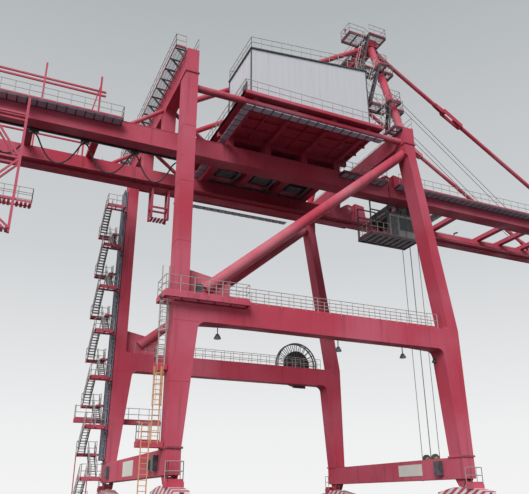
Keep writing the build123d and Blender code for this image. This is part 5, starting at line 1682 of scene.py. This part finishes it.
class CRANE_OT_girder_detail(bpy.types.Operator):
    """Stiffeners, seams, tie haunches, lamp arms and cable trays of the girders and the boom"""

    bl_idname = "crane.girder_detail"
    bl_label = "Girder detail"

    def execute(self, context):
        for node, body, top, bottom in (
            ("fixed_girders", "frame", GIRDER_TOP, GIRDER_BOTTOM),
            ("boom_girders", "boom", BOOM_TOP, BOOM_BOTTOM),
        ):
            steel, grey = Steelwork(), Steelwork()
            low, high = node_box(node)
            start = low[0] + 1.4 * REAL
            end = min(high[0] - 6.2 * REAL, 50.5 * REAL) if body == "boom" else 17.0 * REAL
            x = np.arange(start, end, STIFFENER_PITCH * REAL)
            count = len(x)
            for side in (-GIRDER_Y, GIRDER_Y):
                y0, y1 = (side - HALF_GIRDER) * REAL - LIP, (side + HALF_GIRDER) * REAL + LIP
                lows = np.stack([x, np.full(count, y0), np.full(count, bottom * REAL - LIP)], axis=1)
                highs = np.stack([x + SEAM, np.full(count, y1), np.full(count, top * REAL + LIP)], axis=1)
                steel.boxes(lows, highs)
                outer = (side + math.copysign(HALF_GIRDER, side)) * REAL
                for z in (bottom + 0.03, top - 0.03):
                    steel.bars([(low[0] + 1.3 * REAL, outer, z * REAL)], [(end, outer, z * REAL)],
                               0.05 * REAL, 0.05 * REAL)
                tray = (side - math.copysign(HALF_GIRDER, side)) * REAL
                grey.bars([(start, tray, (bottom + 0.52) * REAL)], [(end, tray, (bottom + 0.52) * REAL)],
                          0.16 * REAL, 0.06 * REAL)
            if body == "boom":
                for lamp in np.arange(4) * 6.6 + 30.1:
                    feet = [real(lamp, LAMP_Y, 28.9), real(lamp, LAMP_Y, 30.0)]
                    tops = [real(lamp, LAMP_Y, 30.1), real(lamp + 0.3, LAMP_Y, 30.3)]
                    grey.bars(feet, tops, 0.08 * REAL, sides=6)
                    shade = ((0.1, 30.20), (0.62, 30.36), (0.58, 30.50), (0.14, 30.36))
                    grey.plate([real(lamp + ahead, LAMP_Y - 0.12, z) for ahead, z in shade], real(0, 0.24, 0))
                wide, narrow = HAUNCH[0] * REAL, HAUNCH[1] * REAL
                for low_tie, high_tie in loose_boxes("boom_ties")[:-1]:
                    z = low_tie[2] + 0.21 * REAL
                    for side in (-1, 1):
                        for way in (-1, 1):
                            face = (low_tie[0] + high_tie[0]) / 2 + way * 0.28 * REAL
                            corners = [(face, side * wide, BOOM_TOP * REAL), (face, side * narrow, z),
                                       (face, side * wide, z)]
                            steel.plate(corners[:: side * way], (-0.03 * REAL * way, 0, 0))
            steel.piece(f"{node}_stiffeners", body, FINISHES["crane_red"], "crane_red")
            grey.piece(f"{node}_trays", body, FINISHES["machine_grey"], "machine_grey")
        return {"FINISHED"}


class CRANE_OT_camera(bpy.types.Operator):
    """Stand the camera where the photograph was taken"""

    bl_idname = "crane.camera"
    bl_label = "Camera"

    def execute(self, context):
        view = context.scene.crane_view
        heading, tilt = view.heading, view.tilt
        ahead = Vector((
            math.sin(heading) * math.cos(tilt), math.cos(heading) * math.cos(tilt), math.sin(tilt),
        ))
        right = Vector((math.cos(heading), -math.sin(heading), 0))
        up = right.cross(ahead)
        turned = right * math.cos(view.roll) + up * math.sin(view.roll)
        upright = up * math.cos(view.roll) - right * math.sin(view.roll)
        camera = bpy.data.cameras.new("camera")
        camera.sensor_width = 36
        camera.lens = view.lens
        camera.clip_start, camera.clip_end = 0.05, 200
        made = bpy.data.objects.new("camera", camera)
        context.scene.collection.objects.link(made)
        turn = Matrix((turned, upright, -ahead)).transposed().to_4x4()
        made.matrix_world = Matrix.Translation(Vector(view.place)) @ turn
        context.scene.camera = made
        return {"FINISHED"}


def seeing_rays(tree):
    """1 for camera, glossy and transmission rays and 0 for all others: the largest of the three."""
    path = tree.nodes.new("ShaderNodeLightPath")
    largest = path.outputs["Is Camera Ray"]
    for kind in ("Is Glossy Ray", "Is Transmission Ray"):
        step = tree.nodes.new("ShaderNodeMath")
        step.operation = "MAXIMUM"
        tree.links.new(largest, step.inputs[0])
        tree.links.new(path.outputs[kind], step.inputs[1])
        largest = step.outputs[0]
    return largest


class CRANE_OT_stage(bpy.types.Operator):
    """Pale floor, overcast sky and soft lamps"""

    bl_idname = "crane.stage"
    bl_label = "Stage"

    def execute(self, context):
        floor = self.floor(context)
        floor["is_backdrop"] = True
        self.sky(context)
        self.lamps(context)
        context.scene.view_settings.view_transform = "Standard"
        return {"FINISHED"}

    def floor(self, context):
        mesh = bpy.data.meshes.new("floor")
        half = 60.0
        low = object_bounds()[0].z - 0.001
        corners = [(-half, -half, low), (half, -half, low), (half, half, low), (-half, half, low)]
        mesh.from_pydata(corners, [], [(0, 1, 2, 3)])
        made = bpy.data.objects.new("floor", mesh)
        context.scene.collection.objects.link(made)
        material = bpy.data.materials.new("floor")
        material.use_nodes = True
        tree = material.node_tree
        tree.nodes.clear()
        shown = tree.nodes.new("ShaderNodeBsdfDiffuse")
        shown.inputs["Color"].default_value = (0.80, 0.80, 0.80, 1)
        bounced = tree.nodes.new("ShaderNodeBsdfDiffuse")
        bounced.inputs["Color"].default_value = (0.08, 0.076, 0.078, 1)
        mix = tree.nodes.new("ShaderNodeMixShader")
        tree.links.new(seeing_rays(tree), mix.inputs["Fac"])
        tree.links.new(bounced.outputs[0], mix.inputs[1])
        tree.links.new(shown.outputs[0], mix.inputs[2])
        output = tree.nodes.new("ShaderNodeOutputMaterial")
        tree.links.new(mix.outputs[0], output.inputs["Surface"])
        mesh.materials.append(material)
        return made

    def sky(self, context):
        """The seen sky runs from near white at the horizon to grey overhead; the lighting sky is softer."""
        world = bpy.data.worlds.new("sky")
        world.use_nodes = True
        context.scene.world = world
        tree = world.node_tree
        tree.nodes.clear()
        place = tree.nodes.new("ShaderNodeTexCoord")
        parts = tree.nodes.new("ShaderNodeSeparateXYZ")
        tree.links.new(place.outputs["Generated"], parts.inputs[0])
        ramp = tree.nodes.new("ShaderNodeValToRGB")
        tree.links.new(parts.outputs["Z"], ramp.inputs[0])
        shades = [(0.0, (0.90, 0.90, 0.90)), (0.10, (0.86, 0.865, 0.87)), (0.36, (0.62, 0.64, 0.66)),
                  (0.52, (0.55, 0.57, 0.59)), (0.68, (0.44, 0.47, 0.485)), (1.0, (0.40, 0.43, 0.45))]
        ramp.color_ramp.elements[0].position = shades[0][0]
        ramp.color_ramp.elements[0].color = (*shades[0][1], 1)
        ramp.color_ramp.elements[1].position = shades[-1][0]
        ramp.color_ramp.elements[1].color = (*shades[-1][1], 1)
        for position, colour in shades[1:-1]:
            ramp.color_ramp.elements.new(position).color = (*colour, 1)
        seen = tree.nodes.new("ShaderNodeBackground")
        tree.links.new(ramp.outputs[0], seen.inputs[0])
        light = tree.nodes.new("ShaderNodeBackground")
        light.inputs[0].default_value = (0.93, 0.95, 1.0, 1)
        light.inputs[1].default_value = 0.55
        mix = tree.nodes.new("ShaderNodeMixShader")
        tree.links.new(seeing_rays(tree), mix.inputs["Fac"])
        tree.links.new(light.outputs[0], mix.inputs[1])
        tree.links.new(seen.outputs[0], mix.inputs[2])
        output = tree.nodes.new("ShaderNodeOutputWorld")
        tree.links.new(mix.outputs[0], output.inputs["Surface"])

    def lamps(self, context):
        """A broad soft sun from over the camera's shoulder, and a weak one from the left."""
        for name, direction, strength, spread in (
            ("key", (0.45, 0.62, -0.62), 2.7, 35.0),
            ("fill", (0.9, -0.1, -0.35), 0.6, 60.0),
        ):
            sun = bpy.data.lights.new(name, "SUN")
            sun.energy = strength
            sun.angle = math.radians(spread)
            made = bpy.data.objects.new(name, sun)
            made.rotation_mode = "QUATERNION"
            made.rotation_quaternion = Vector(direction).to_track_quat("-Z", "Y")
            context.scene.collection.objects.link(made)


class CRANE_PT_sidebar(bpy.types.Panel):
    """The crane's operators and their sizes and colours"""

    bl_label = "Quay crane"
    bl_idname = "CRANE_PT_sidebar"
    bl_space_type = "VIEW_3D"
    bl_region_type = "UI"
    bl_category = "Crane"

    def draw(self, context):
        layout = self.layout
        for group in (context.scene.crane_paint, context.scene.crane_sizes, context.scene.crane_view):
            for name in group.__annotations__:
                layout.prop(group, name)
        for operator in OPERATORS:
            layout.operator(operator.bl_idname)


OPERATORS = (
    CRANE_OT_camera,
    CRANE_OT_finishes,
    CRANE_OT_festoon,
    CRANE_OT_leg_platforms,
    CRANE_OT_walkways,
    CRANE_OT_boom_walkways,
    CRANE_OT_stair_tower,
    CRANE_OT_ladders,
    CRANE_OT_apex,
    CRANE_OT_cages,
    CRANE_OT_reel,
    CRANE_OT_deck,
    CRANE_OT_house,
    CRANE_OT_cab,
    CRANE_OT_trolley,
    CRANE_OT_forestays,
    CRANE_OT_legs,
    CRANE_OT_bogies,
    CRANE_OT_girder_detail,
    CRANE_OT_stage,
)
CLASSES = (CranePaint, CraneSizes, CraneView, *OPERATORS, CRANE_PT_sidebar)


def register():
    for made in CLASSES:
        bpy.utils.register_class(made)
    bpy.types.Scene.crane_paint = PointerProperty(type=CranePaint)
    bpy.types.Scene.crane_sizes = PointerProperty(type=CraneSizes)
    bpy.types.Scene.crane_view = PointerProperty(type=CraneView)


def unregister():
    del bpy.types.Scene.crane_paint
    del bpy.types.Scene.crane_sizes
    del bpy.types.Scene.crane_view
    for made in reversed(CLASSES):
        bpy.utils.unregister_class(made)


def main():
    register()
    for operator in OPERATORS:
        getattr(bpy.ops.crane, operator.bl_idname.split(".")[1])()


if __name__ == "__main__":
    main()
